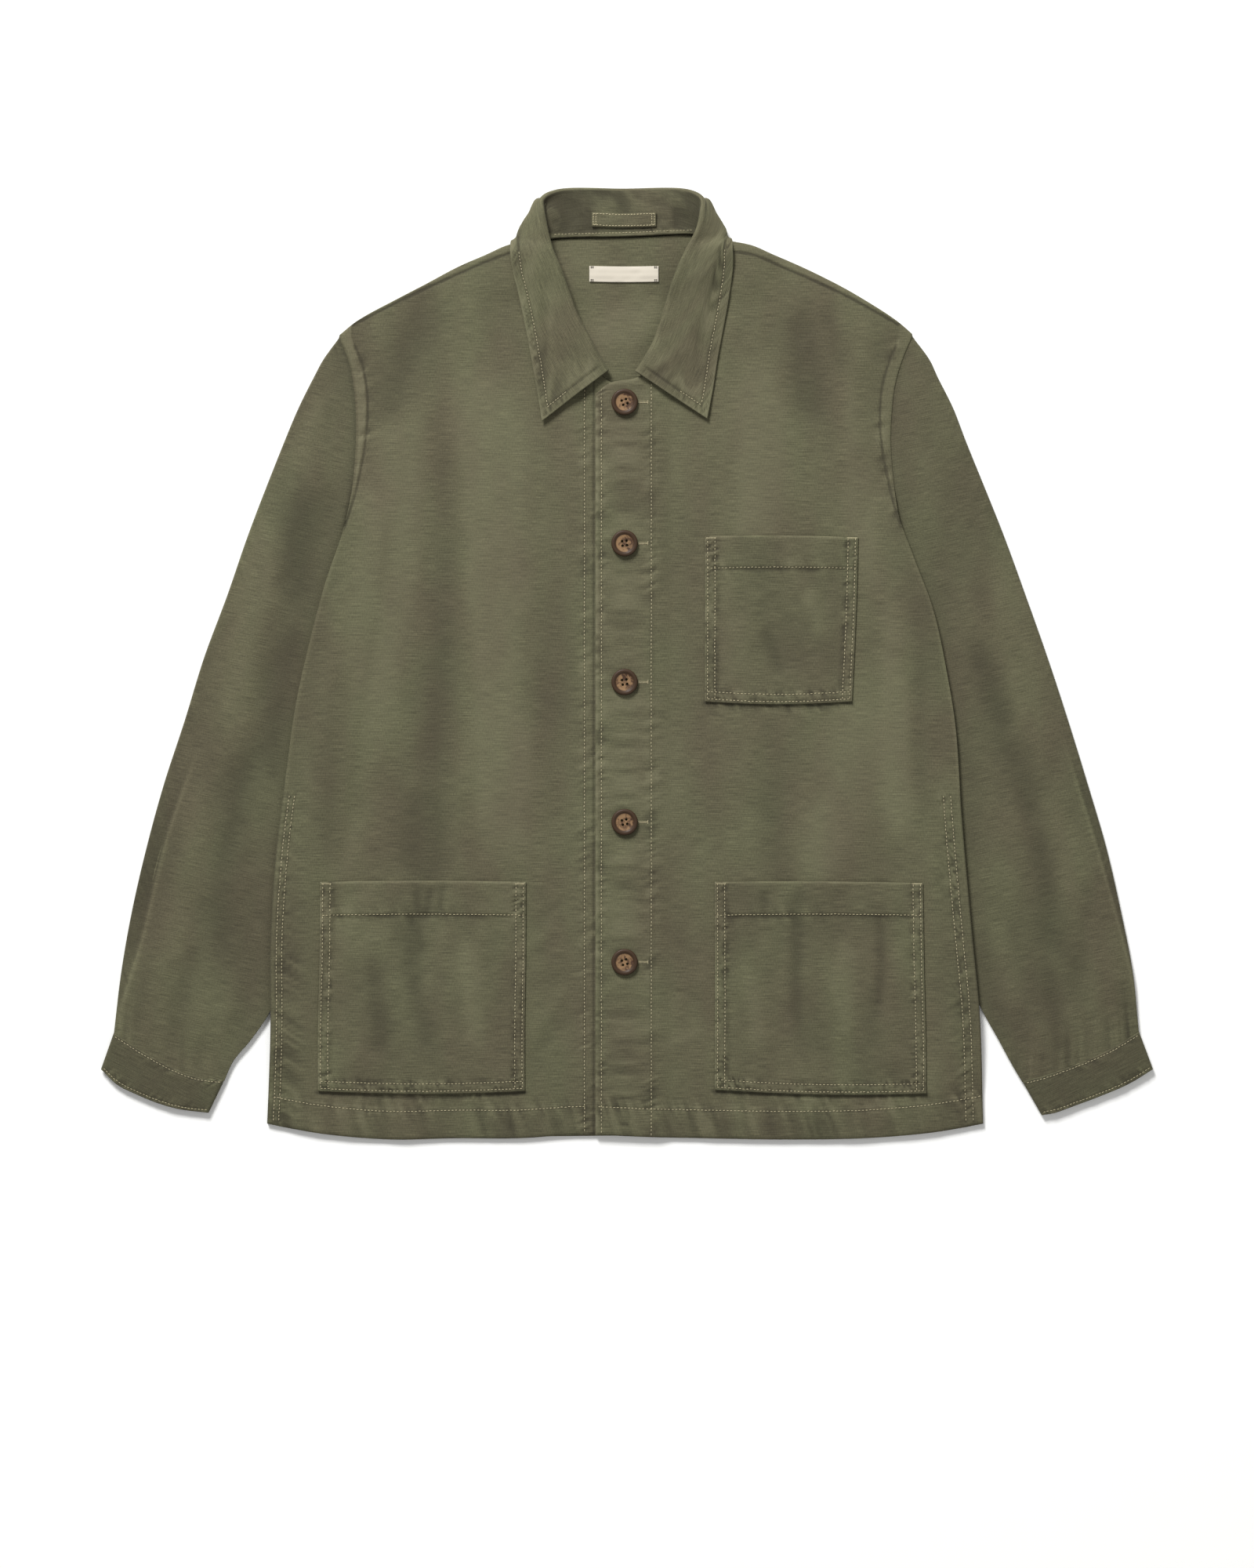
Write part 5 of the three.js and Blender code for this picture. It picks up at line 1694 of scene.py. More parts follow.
@dataclass
class Collar:
    """Shirt collar folded over its stand: a leaf with a puckered topstitched edge."""

    right: tuple[Cut, ...] = (
        Cut((-15, 241), (-43, 220), (-70, 199), (-20, 237)),
        Cut((-23, 253), (-50, 238), (-74, 224), (-31, 246)),
        Cut((-32, 270), (-58, 262), (-79, 252), (-44, 260)),
        Cut((-41, 287), (-66, 284), (-84, 279), (-56, 277)),
        Cut((-48, 306), (-73, 305), (-89, 302), (-65, 297)),
        Cut((-55, 325), (-80, 326), (-94, 323), (-74, 318)),
        Cut((-61, 339), (-85.5, 341), (-96, 339), (-84, 336)),
        Cut((-64, 348), (-89.5, 350.5), (-95, 347.5), (-80, 343)),
        Cut((-66.5, 357), (-88, 358), (-90, 338), (-75, 345)),
        Cut((-70, 371), (-80.5, 370), (-78, 337), (-70, 347.5)),
        Cut((-70.5, 382), (-73.5, 382), (-67, 335), (-64, 349)),
        Cut((-58, 389.2), (-58, 372), (-54, 333), (-51, 350)),
    )
    left: tuple[Cut, ...] = (
        Cut((7, 240), (37, 220), (66, 201), (11, 236)),
        Cut((13, 249), (42, 238), (71, 227), (21, 243)),
        Cut((20, 261), (50, 258), (75, 253), (33, 255)),
        Cut((27, 279), (56, 280), (80, 279), (45, 272)),
        Cut((33, 299), (62, 302), (84, 302), (55, 292)),
        Cut((40, 320), (70, 325), (87, 324), (65, 314)),
        Cut((49, 340), (76.5, 343), (87, 341), (76, 336)),
        Cut((54, 348.5), (81, 351.5), (86, 349), (73, 344)),
        Cut((58.5, 357), (80, 358), (83, 338), (69, 347)),
        Cut((62, 370), (73, 370), (71, 337), (64, 351)),
        Cut((62.5, 382), (66, 382), (60, 335), (57, 352.5)),
        Cut((51, 389.2), (51, 372), (48, 333), (44, 353)),
    )
    rises: tuple[Rise, ...] = (
        Rise(3.9, 180, 4.2, 2.9, 2.3), Rise(4.4, 180, 4.8, 3.2, 2.3), Rise(5.2, 175, 5.4, 3.4, 2.3),
        Rise(6.0, 168, 5.8, 3.6, 2.3), Rise(6.8, 158, 6.2, 3.8, 2.4), Rise(7.4, 155, 6.6, 4.4, 2.6),
        Rise(7.6, 148, 6.0, 4.6, 3.4), Rise(13.0, 135, 6.4, 4.4, 2.4),
        Rise(13.2, 115, 4.4, 0.8, FLOOR_MID), Rise(12, 85, 4.2, 0.8, FLOOR_MID),
        Rise(8, 45, 2.8, 0.8, FLOOR_MID), Rise(4, 10, 0.8, FLOOR_MID, FLOOR_MID),
    )
    middle: Cut = Cut((-3, 390.2), (-3, 372), (-3, 333), (-3, 351))
    middle_rise: Rise = Rise(2.8, 0, FLOOR_MID, FLOOR_MID, FLOOR_MID)
    on_front: int = 7
    roll_radius: float = 1.9
    seam_clear: float = 0.7
    stand_gap: float = -0.9
    stand_straight: float = 3.0
    stitch_inset: float = 7.4

    def lines(self) -> tuple[Array, Array]:
        """Middle points of the stand and of the leaf, a row for each section.

        Returns:
            The stand's rows and the leaf's rows.
        """
        right, left = (
            [(cut, rise, k < self.on_front, side) for k, (cut, rise) in enumerate(zip(cuts, self.rises))]
            for cuts, side in ((self.right, Side.RIGHT), (self.left, Side.LEFT))
        )
        rows = right + [(self.middle, self.middle_rise, False, Side.RIGHT)] + left[::-1]
        rolls = np.array([section.roll for section, _, _, _ in rows], float)
        stand, leaf = [], []
        for k, (section, rise, front, side) in enumerate(rows):
            panel = LAY.front_mid if side is Side.RIGHT else LAY.lap_mid

            def base(p: Sequence[float]) -> float:
                """Height of the front under a place, or the floor's behind the shoulders."""
                return float(panel(np.array(p[0], float), np.array(p[1], float))) if front else 0.0

            along = rolls[min(k + 1, len(rolls) - 1)] - rolls[max(k - 1, 0)]
            hx, hy = -along[1] / np.hypot(*along), along[0] / np.hypot(*along)
            turn = math.radians(rise.turn)
            height = base(section.seam) + rise.roll
            roll = []
            for quarter in (0.5, 0.25, 0.0, -0.25, -0.5):
                angle = turn + quarter * math.pi
                reach = self.roll_radius * (math.cos(angle) - math.cos(turn))
                up = self.roll_radius * math.sin(angle)
                roll.append((section.roll[0] + hx * reach, section.roll[1] + hy * reach, height + up))
            roll = np.array(roll)
            back = LAY.back_mid(np.array(float(section.seam[0])), np.array(float(section.seam[1])))
            seam_z = (base(section.seam) if front else float(back)) + LAYER + self.seam_clear
            bend = np.array([*section.bend, base(section.bend) + rise.bend])
            edge = np.array([*section.edge, base(section.edge) + rise.edge])
            under = mix(bend, edge, 0.35)
            under[2] = base(under) + rise.under
            leaf.append([*roll, mix(roll[4], bend, 0.5), bend, under, mix(under, edge, 0.5), edge])
            seam = np.array([*section.seam, seam_z])
            step = -np.array([hx * math.cos(turn), hy * math.cos(turn), math.sin(turn)])
            lower = roll[0] + step * self.stand_straight
            stand.append([roll[0] + step * self.stand_gap, lower, mix(lower, seam, 0.5), seam])
        return np.array(stand), np.array(leaf)

    def refined(self, rows: Array, fine: float, across: float, zones: Sequence[Pair]) -> Array:
        """Fine grid through the coarse rows of sections.

        Args:
            rows: Sections by points, x, y, z last.
            fine: Step along the collar.
            across: Step across it.
            zones: Closer zones across, measured from the first strand.

        Returns:
            Grid with a row for each step across.
        """
        dense = through(rows, np.linspace(0, len(rows) - 1, (len(rows) - 1) * 12 + 1))
        run = running(np.linalg.norm(np.diff(dense, axis=0), axis=-1).mean(1))
        share = graded(run[-1], fine, fine * 1.35, [(0, 14), (run[-1], 14)])
        place = np.interp(share * run[-1], run, np.linspace(0, len(rows) - 1, len(run)))
        strands = through(rows, place).transpose(1, 0, 2)
        wide = through(strands, np.linspace(0, len(strands) - 1, (len(strands) - 1) * 12 + 1))
        wrun = running(np.linalg.norm(np.diff(wide, axis=0), axis=-1).mean(1))
        wshare = graded(wrun[-1], across, across * 1.5, [(wrun[-1] - a, b) for a, b in zones])
        wplace = np.interp(wshare * wrun[-1], wrun, np.linspace(0, len(strands) - 1, len(wrun)))
        placed = through(strands, wplace)
        placed[..., 2] = np.maximum(placed[..., 2], FLOOR_MID)
        return placed

    def make_leaf(self, rows: Array) -> Piece:
        """Makes the leaf.

        Args:
            rows: Sections of the leaf.

        Returns:
            The object.
        """
        grid = self.refined(rows, 1.15, 1.1, [(4, 14)])
        across, down = measured(grid)
        from_edge = down[-1:] - down
        from_end = np.minimum(across, across[:, -1:] - across)
        border = np.minimum(from_edge, from_end)
        free = smooth((down - 6) / 8)
        waves = ripple(across, 4.4, 31) * bell(from_edge - 4.2, 2.8)
        ends = ripple(down + 0.4 * from_end, 5.8, 32) * bell(from_end - 4.2, 2.8) * (from_end < from_edge + 6)
        rows_sunk = -0.42 * bell(border - self.stitch_inset, 1.1)
        diagonal = noise(across + down, down - across * 0.4, (9.0, 22.0), 33) * 0.2 * bell(border - 12, 9)
        soft = 0.35 * noise(across, down, (34.0, 24.0), 34) + 0.12 * noise(across, down, (12.0, 10.0), 35)
        grid[..., 2] += 1.7 * bell(from_end, 15) * smooth((down - 12) / 20)
        normal = normals(grid)
        free = free * smooth((normal[..., 2] + 0.1) / 0.5)
        detail = free * (0.2 * (waves + ends) + rows_sunk + diagonal)
        middle = grid + normal * (0.9 * free * np.maximum(soft, -0.3) * smooth(from_edge / 10))[..., None]
        # Painted highlight along the turned edges of the leaf.
        worn = wear_and_shading_of(1.1 * detail) + fold_shading_of(1.4 * soft) + 0.02 + 0.4 * bell(border - 0.8, 1.4)
        shell = ClothShell(middle, WALL, detail, (1400.0, 300.0), thin=3, worn=worn)
        piece = polish(shell.make("collar_cloth"), CLOTH, "cloth", ["collar"])
        return piece

    def seam_lines(self, rows: Array) -> list[Line]:
        """Rows of stitches on the leaf: both ends and the part of the free edge in front.

        Args:
            rows: Sections of the leaf.

        Returns:
            The rows' lines.
        """
        inset = self.stitch_inset
        grid = self.refined(rows, 2.0, 2.0, [])
        across, down = measured(grid)
        run = down[-1:] - down
        last = grid.shape[1] - 1

        def at_edge(k: int) -> tuple[float, ...]:
            """Place on one strand at the inset from the free edge."""
            return tuple(np.interp(inset, run[::-1, k], grid[::-1, k, axis]) for axis in (0, 1))

        def at_end(j: int, place: Array) -> tuple[float, ...]:
            """Place on one row at a distance along it."""
            return tuple(np.interp(place[j], across[j], grid[j, :, axis]) for axis in (0, 1))

        stop = int(np.argmin(np.abs(run[:, 4] - inset)))
        places = (across[:, 0] + inset, across[:, -1] - inset)
        lines = [Line([at_end(j, place) for j in np.linspace(14, stop, 6).astype(int)]) for place in places]
        front = int(last * 0.27)
        near = int(np.argmin(np.abs(across.mean(0) - inset)))
        for start, end in ((near, front), (last - near, last - front)):
            lines.append(Line([at_edge(k) for k in np.linspace(start, end, 14).astype(int)]))
        return lines

    def make_stand(self, rows: Array) -> Piece:
        """Makes the stand, with its roped inner seam.

        Args:
            rows: Sections of the stand.

        Returns:
            The object.
        """
        grid = self.refined(rows, 1.5, 1.2, [(0, 8)])
        across, down = measured(grid)
        from_seam = down[-1:] - down
        rope = 0.35 * ripple(across + 1.2 * from_seam, 5.0, 41) * bell(from_seam - 2.2, 2.6)
        rope = rope + 0.45 * bell(from_seam - 2.0, 1.8) - 0.3 * bell(from_seam - 5.2, 1.0)
        soft = 0.95 * noise(across, down, (15.0, 15.0), 42, 12) + 0.3 * noise(across, down, (6.0, 6.0), 43)
        detail = rope + soft * smooth(down / 5) * smooth(from_seam / 6)
        ends = np.minimum(across, across[:, -1:] - across)
        # Painted shade over the whole stand inside the collar and more near the neck corners, painted shading
        # of its wrinkles, and a painted highlight on the roped seam.
        worn = wear_and_shading_of(0.7 * rope) + np.clip(0.75 * soft, -0.5, 0.6) - 0.78
        worn = worn - 0.45 * bell(ends - 150, 24) + bell(from_seam - 1.6, 1.6)
        shell = ClothShell(grid, WALL, detail, (1400.0, 400.0), thin=3, worn=worn, turned=True)
        piece = polish(shell.make("collar_stand_cloth"), CLOTH, "cloth", ["collar_stand"])
        return piece


@dataclass
class Strip:
    """A small flat piece sewn on top of another: the hanger loop or the neck label."""

    name: str
    finish: Finish
    slot: str
    left: float
    right: float
    low: float
    high: float
    wall: float
    bow: float
    seed: int
    rise: float = 0.3

    def make(self, under: Piece) -> Piece:
        """Makes the strip on the piece that it is sewn to.

        Args:
            under: Piece under the strip.

        Returns:
            The object.
        """
        needle = Needle([under])
        u = graded(self.right - self.left, 0.8, 1.2, [])
        v = graded(self.high - self.low, 0.6, 0.8, [])
        x = np.broadcast_to(mix(self.left, self.right, u)[None], (len(v), len(u))).copy()
        y = np.broadcast_to(mix(self.high, self.low, v)[:, None], x.shape).copy()
        y = y - self.bow * np.sin(np.pi * u)[None]
        z = np.array([[needle.drop(a, b)[0] for a, b in zip(*pair)] for pair in zip(x, y)])
        share = np.sin(np.pi * u)[None] ** 0.7
        z = evened(z) + self.rise + self.wall / 2 + 0.25 * share * np.sin(np.pi * v)[:, None]
        relief = 0.12 * noise(x, y, (7.0, 5.0), self.seed)
        shell = ClothShell(np.dstack([x, y, z]), self.wall, relief, (1900.0, 50.0 * self.seed), thin=2)
        piece = polish(shell.make(f"{self.name}_cloth"), self.finish, self.slot, [self.name])
        return piece


def evened(z: Array) -> Array:
    """Heights evened out along the rows, so that a strip spans the small dents under it."""
    wide = np.pad(z, ((0, 0), (4, 4)), mode="edge")
    return sum(wide[:, k : k + z.shape[1]] for k in range(9)) / 9


# ---- buttons
@dataclass
class HornButton:
    """Four-hole button with a rounded rim and a dished middle."""

    number: int
    y: float
    turn: float
    radius: float = 10.9
    hole: float = 1.1
    hole_place: float = 1.85
    spokes: int = 56
    bevel: float = 0.12

    def profile(self) -> Array:
        """Half of the cut through the button, from the middle below to the middle above.

        Returns:
            Distance from the middle and height of each point.
        """
        r = self.radius
        return np.array(
            [(0.02, 0), (r - 3, 0), (r - 1.6, 0.15), (r - 0.6, 0.7), (r - 0.05, 1.7), (r - 0.15, 2.4)]
            + [(r - 0.6, 3.0), (r - 1.4, 3.3), (r - 2.4, 3.25), (r - 3.2, 2.9), (r - 3.9, 2.45)]
            + [(r - 5.2, 2.2), (4.4, 2.1), (0.02, 2.0)]
        )

    def make(self, panel: FrontPanel) -> Piece:
        """Makes the button.

        Args:
            panel: Front that it is sewn through.

        Returns:
            The object.
        """
        profile = self.profile()
        points = through(profile, np.linspace(0, len(profile) - 1, 40))
        points[[0, -1], 0] = 0.0
        body = bmesh.new()
        angles = np.linspace(0, 2 * math.pi, self.spokes, endpoint=False)
        rings = [
            [body.verts.new((r * math.cos(a) * MM, r * math.sin(a) * MM, z * MM)) for a in angles]
            for r, z in points[1:-1]
        ]
        for a, b in zip(rings[:-1], rings[1:]):
            for k in range(self.spokes):
                after = (k + 1) % self.spokes
                body.faces.new((a[k], a[after], b[after], b[k]))
        body.faces.new(rings[0][::-1])
        body.faces.new(rings[-1])
        mesh = bpy.data.meshes.new(f"button_{self.number}_horn")
        body.to_mesh(mesh)
        body.free()
        piece = placed(mesh.name, mesh)
        for dx, dy in ((-1, -1), (1, -1), (1, 1), (-1, 1)):
            self.drill(piece, dx * self.hole_place, dy * self.hole_place)
        for face in piece.data.polygons:
            face.use_smooth = len(face.vertices) < 8
        bevelled = piece.modifiers.new("edges", "BEVEL")
        bevelled.width, bevelled.segments, bevelled.angle_limit = self.bevel * MM, 2, 0.7
        self.apply(piece)
        x, y = np.array(BUTTON_X), np.array(self.y)
        rest = float(panel.height(x, y)) + WALL / 2 + TURNED + SEAM
        piece.location = (BUTTON_X * MM, self.y * MM, rest * MM)
        piece.rotation_euler = (0, 0, math.radians(self.turn))
        return polish(piece, HORN, "button", [f"button_{self.number}"])

    def drill(self, piece: Piece, x: float, y: float) -> None:
        """Cuts one hole through the button.

        Args:
            piece: The button.
            x: Place of the hole.
            y: Place of the hole.
        """
        bit = bmesh.new()
        bmesh.ops.create_cone(
            bit, cap_ends=True, segments=20, radius1=self.hole * MM, radius2=self.hole * MM, depth=12 * MM
        )
        bmesh.ops.translate(bit, verts=bit.verts, vec=(x * MM, y * MM, 0))
        mesh = bpy.data.meshes.new("bit")
        bit.to_mesh(mesh)
        bit.free()
        tool = placed("bit", mesh)
        cut = piece.modifiers.new("hole", "BOOLEAN")
        cut.operation, cut.object, cut.solver = "DIFFERENCE", tool, "EXACT"
        self.apply(piece)
        bpy.data.objects.remove(tool)
        bpy.data.meshes.remove(mesh)

    def apply(self, piece: Piece) -> None:
        """Applies the piece's modifiers to its mesh.

        Args:
            piece: The piece.
        """
        graph = bpy.context.evaluated_depsgraph_get()
        graph.update()
        made = bpy.data.meshes.new_from_object(piece.evaluated_get(graph))
        piece.modifiers.clear()
        piece.data = made


# ---- studio
@dataclass
class Studio:
    """White paper, a large soft light from above the collar, and a camera straight above."""

    camera_height: float = 4.0
    centre_y: float = -0.0987
    frame_height: float = 1.29
    sensor: float = 36.0
    # The paper lies a little lower than the cloth, so that their faces never fight.
    floor_gap: float = 0.4
    paper_size: float = 12.0

    def camera(self) -> None:
        """Makes the camera, looking straight down."""
        lens = bpy.data.cameras.new("camera")
        lens.type = "PERSP"
        lens.sensor_fit = "AUTO"
        lens.sensor_width = self.sensor
        lens.lens = self.sensor * self.camera_height / self.frame_height
        lens.clip_end = 50.0
        camera = placed("camera", lens)
        camera.location = (0.0, self.centre_y, self.camera_height)
        bpy.context.scene.camera = camera

    def floor(self) -> None:
        """Makes the paper under the jacket."""
        sheet = bmesh.new()
        bmesh.ops.create_grid(sheet, x_segments=8, y_segments=8, size=self.paper_size)
        mesh = bpy.data.meshes.new("floor")
        sheet.to_mesh(mesh)
        sheet.free()
        piece = placed("floor", mesh)
        piece.location = (0, 0, -self.floor_gap * MM)
        mesh.materials.append(PAPER.material())

    def light(self, name: str, place: Sequence[float], size: float, power: float) -> None:
        """A square soft light turned to the jacket.

        Args:
            name: Name of the light.
            place: Where it stands, in metres.
            size: Length of its side, in metres.
            power: Power in watts.
        """
        lamp = bpy.data.lights.new(name, "AREA")
        lamp.shape, lamp.size, lamp.energy = "SQUARE", size, power
        piece = placed(name, lamp)
        piece.location = place
        piece.rotation_euler = (-Vector(place)).to_track_quat("-Z", "Y").to_euler()

    def sky(self, strength: float) -> None:
        """Even white light from all round.

        Args:
            strength: Strength of the light.
        """
        world = bpy.data.worlds.new("studio")
        world.use_nodes = True
        background = world.node_tree.nodes["Background"]
        background.inputs["Color"].default_value = (1.0, 1.0, 1.0, 1.0)
        background.inputs["Strength"].default_value = strength
        bpy.context.scene.world = world

    def make(self) -> None:
        """Makes the whole studio."""
        self.camera()
        self.floor()
        self.light("key_light", (-1.6, 3.8, 3.1), size=1.6, power=366.0)
        self.light("fill_light", (1.8, -2.0, 3.0), size=2.4, power=26.0)
        self.sky(strength=0.33)
        bpy.context.scene.view_settings.view_transform = "Standard"


# ---- the jacket
def upright(x: float, top: float, low: float) -> Line:
    """Line down a front at one place across."""
    return Line([(x, top), (x, 60), (x, -150), (x, low)])


def front_rows(side: Side) -> tuple[StitchRow, ...]:
    """Rows of stitches on a front: its edges, hem, armhole and side.

    Args:
        side: The wearer's side.

    Returns:
        The rows, with grooves under the pockets' lower edges and beside the lap that also bring painted
        shadow.
    """
    hem = HEM[side]
    sign = side.value
    xs = np.linspace(-24 if side is Side.LEFT else -34, 291 * sign, 14)
    hem_line = Line([(float(x), float(hem.y_at(x)) + HEM_STITCH) for x in xs])
    ys = np.linspace(262, 112, 12)
    armhole = Line([(float(BODY_EDGE[side].x_at(y)) - sign * float(felled_width(y)), float(y)) for y in ys])
    low = np.linspace(-108, -376, 9)
    rows = [
        StitchRow(hem_line, sink=0.3, pucker=0.16, pitch=8.0, reach=7.0, seed=2 + sign),
        StitchRow(armhole, sink=0.6, groove=1.0, pucker=0.2, pitch=8.0, reach=5.0, seed=6 + sign, sewn=False),
        StitchRow(SHOULDER_SEAM[side], sink=0.55, groove=0.9, pucker=0.04, seed=16, sewn=False),
    ]
    for k, inset in enumerate(SIDE_ROWS[side]):
        line = Line([(float(BODY_EDGE[side].x_at(y)) - sign * inset, float(y)) for y in low])
        rows.append(StitchRow(line, sink=0.25, pucker=0.16, pitch=6.5, reach=4.0, seed=12 + k + sign))
    if side is Side.LEFT:
        edge, band = upright(-21, 226, -386), upright(PLACKET_STITCH, 240, -388)
        rows.append(StitchRow(edge, sink=0.25, groove=1.0, pucker=0.2, pitch=5.5, seed=21, reach=4.0))
        rows.append(StitchRow(band, sink=0.3, groove=1.0, pucker=0.2, pitch=6.5, seed=22, reach=6.0))
        # Grooves under the pockets' lower edges, which also bring painted shadow.
        pocket_shadow_lines = [Line([(64, -32.6), (124, -35.2), (185, -32.6)])]
        pocket_shadow_lines.append(Line([(72, -351.6), (159, -355.6), (246, -354.6)]))
    else:
        facing, lap = upright(FACING_STITCH, 250, -388), upright(-27.4, 240, -388)
        rows.append(StitchRow(facing, sink=0.3, groove=1.0, pucker=0.18, pitch=6.5, seed=23))
        # A groove beside the lapping front's edge, which also brings a painted shadow line.
        lap_shadow_row = StitchRow(lap, sink=0.5, groove=0.9, pucker=0.14, pitch=6.5, seed=25, reach=3.0, sewn=False)
        rows.append(lap_shadow_row)
        # Groove under the pocket's lower edge, which also brings painted shadow.
        pocket_shadow_lines = [Line([(-254, -352.6), (-169, -356.6), (-84, -352.6)])]
    seed = 26 if side is Side.LEFT else 27
    for line in pocket_shadow_lines:
        rows.append(StitchRow(line, sink=0.5, groove=1.8, pucker=0.2, pitch=9.0, seed=seed, sewn=False))
    return tuple(rows)


def make_fronts() -> tuple[FrontPanel, FrontPanel]:
    """Both fronts with their creases.

    Returns:
        The right and the left one.
    """
    right = FrontPanel(
        Side.RIGHT,
        16.0,
        (
            Fold((-150, 300), (-150, 130), 12, -0.5, 4), Fold((-188, 120), (-176, -60), 9, -0.4, 5),
            Fold((-60, 60), (-66, -150), 16, -0.35), Fold((-120, -60), (-128, -170), 8, -0.4, 3),
            Fold((-236, -20), (-244, -170), 10, -0.5, 4), Fold((-92, -20), (-52, -34), 5, -0.3),
            Fold((-215, -120), (-240, -190), 7, 0.35), Fold((-166, -104), (-172, -176), 20, -1.0),
            Fold((-82, -330), (-46, -284), 6, -0.5), Fold((-80, -304), (-50, -268), 5, 0.4),
            Fold((-82, -268), (-44, -252), 6, -0.45), Fold((-84, -236), (-56, -210), 5, 0.4),
            Fold((-80, -218), (-50, -192), 5, -0.35), Fold((-262, -196), (-282, -206), 4, -0.4),
            Fold((-264, -236), (-286, -252), 4, -0.35),
        ),
        front_rows(Side.RIGHT),
        101,
    )
    left = FrontPanel(
        Side.LEFT,
        PLACKET_EDGE,
        (
            Fold((166, 300), (182, 236), 8, -0.7, 3), Fold((193, 243), (193, 146), 8, -0.55, -2),
            Fold((242, 17), (245, -137), 7, -0.8, 3), Fold((262, -80), (258, -130), 6, 0.5),
            Fold((60, 40), (64, -150), 15, -0.35, 4), Fold((206, 60), (214, -60), 9, -0.45, 3),
            Fold((210, 272), (205, 200), 7, -0.35, 2), Fold((80, -100), (150, -140), 8, -0.3),
            Fold((30, -214), (60, -240), 6, -0.4), Fold((28, -262), (62, -276), 5, -0.4),
            Fold((30, -318), (64, -300), 6, 0.4), Fold((256, -180), (276, -214), 5, -0.45),
            Fold((254, -270), (280, -258), 4, -0.35), Fold((196, 20), (232, 2), 7, -0.4),
        ),
        front_rows(Side.LEFT),
        202,
    )
    return right, left


def make_pockets(right: FrontPanel, left: FrontPanel) -> list[PatchPocket]:
    """The chest pocket and both lower pockets.

    Args:
        right: The right front.
        left: The left front.

    Returns:
        The pockets.
    """
    return [
        PatchPocket(
            "pocket_chest",
            left,
            ((64, 105), (64.2, 60), (64, 10), (64, -31)),
            ((190, 104), (189, 60), (187, 10), (185, -31)),
            78.5,
            (Fold((112, 30), (128, -10), 6, -0.45), Fold((150, 60), (160, 20), 7, 0.35)),
            3,
        ),
        PatchPocket(
            "pocket_left",
            left,
            ((72, -179), (72.3, -240), (72.3, -300), (72, -350)),
            ((243, -180), (244, -240), (245.5, -300), (246, -353)),
            -206.5,
            (
                Fold((142, -184), (142, -310), 6, -0.5, 3), Fold((112, -186), (115, -214), 4, -0.35),
                Fold((208, -200), (206, -290), 5, -0.45, -2), Fold((180, -230), (176, -320), 9, 0.4),
                Fold((100, -250), (110, -320), 8, 0.3),
            ),
            4,
        ),
        PatchPocket(
            "pocket_right",
            right,
            ((-252, -179), (-252.5, -240), (-254, -300), (-254, -351)),
            ((-83, -179), (-83.2, -240), (-84, -300), (-84, -351)),
            -206.5,
            (
                Fold((-172, -182), (-174, -210), 4, -0.5), Fold((-161, -183), (-165, -212), 3.5, -0.45),
                Fold((-151, -182), (-154, -206), 3, -0.35),
                Fold((-174, -206), (-168, -238), 6, -0.45, 2),
                Fold((-178, -215), (-158, -330), 10, -0.5, 4), Fold((-130, -230), (-124, -320), 9, 0.4),
                Fold((-210, -240), (-200, -320), 8, -0.35),
            ),
            5,
        ),
    ]


def make_sleeves() -> list[Sleeve]:
    """Both sleeves with their creases.

    Returns:
        The right and the left one.
    """
    right = Sleeve(
        Side.RIGHT,
        (
            Fold((-264, 146), (-271, 43), 14, -1.1, 4), Fold((-271, 43), (-296, -99), 15, -1.2, 4),
            Fold((-310, -60), (-335, -240), 13, -0.9, 5), Fold((-300, 120), (-330, -90), 14, 0.7),
            Fold((-345, -100), (-378, -250), 12, 0.7), Fold((-352, -230), (-372, -318), 9, -0.6, 3),
            Fold((-392, -250), (-408, -306), 6, -0.5), Fold((-318, -250), (-340, -325), 7, 0.5),
        ),
        Line([(-350, -60), (-374, -125), (-385, -162), (-400, -225), (-412, -264), (-421, -296)]),
        301,
    )
    left = Sleeve(
        Side.LEFT,
        (
            Fold((284, 17), (310, -60), 12, -1.1, -4), Fold((310, -60), (335, -131), 12, -1.1, -4),
            Fold((335, -131), (350, -240), 11, -0.9, -3), Fold((380, -176), (374, -279), 8, -0.7, 3),
            Fold((300, 110), (336, -70), 14, 0.8), Fold((350, -100), (378, -240), 11, 0.7),
            Fold((345, -250), (358, -326), 7, -0.6), Fold((300, -200), (322, -290), 9, 0.5),
        ),
        Line([(358, -52), (372.5, -99), (393.5, -168), (411, -231), (419.5, -268), (421, -290)]),
        302,
    )
    return [right, left]


def sew_fronts(pieces: Sequence[Piece], fronts: Sequence[FrontPanel]) -> None:
    """Rows of stitches on the fronts and the buttonholes.

    Args:
        pieces: Pieces under the stitches.
        fronts: The fronts, with their rows.
    """
    needle = Needle(pieces)
    for front in fronts:
        for row in front.rows:
            if row.sewn:
                needle.sew(row.line)
    # Each buttonhole shows beside its button: two satin edges and a bar at the end.
    start, stop, bar = 9.5, 16.9, 17.2
    for y in BUTTON_YS:
        needle.satin((start, y + 0.55), (stop, y + 0.4), 0.8)
        needle.satin((start, y - 0.6), (stop, y - 0.5), 0.8)
        needle.satin((bar, y + 1.3), (bar, y - 1.3), 0.9)
    polish(needle.make("front_stitches"), THREAD, "thread", [])


def sew_pockets(pieces: Sequence[Piece], pockets: Sequence[PatchPocket]) -> None:
    """Rows of stitches and bar tacks on the pockets.

    Args:
        pieces: Pieces under the stitches.
        pockets: The pockets, with their rows.
    """
    needle = Needle(pieces)
    for pocket in pockets:
        for row in pocket.rows():
            needle.sew(row.line)
        (lx, top), (rx, _) = pocket.left[0], pocket.right[0]
        for x in (lx + 1.4, rx - 8.8):
            needle.satin((x, top - 1.7), (x + 7.4, top - 1.7), 1.2, 0.7)
    polish(needle.make("pocket_stitches"), THREAD, "thread", [])


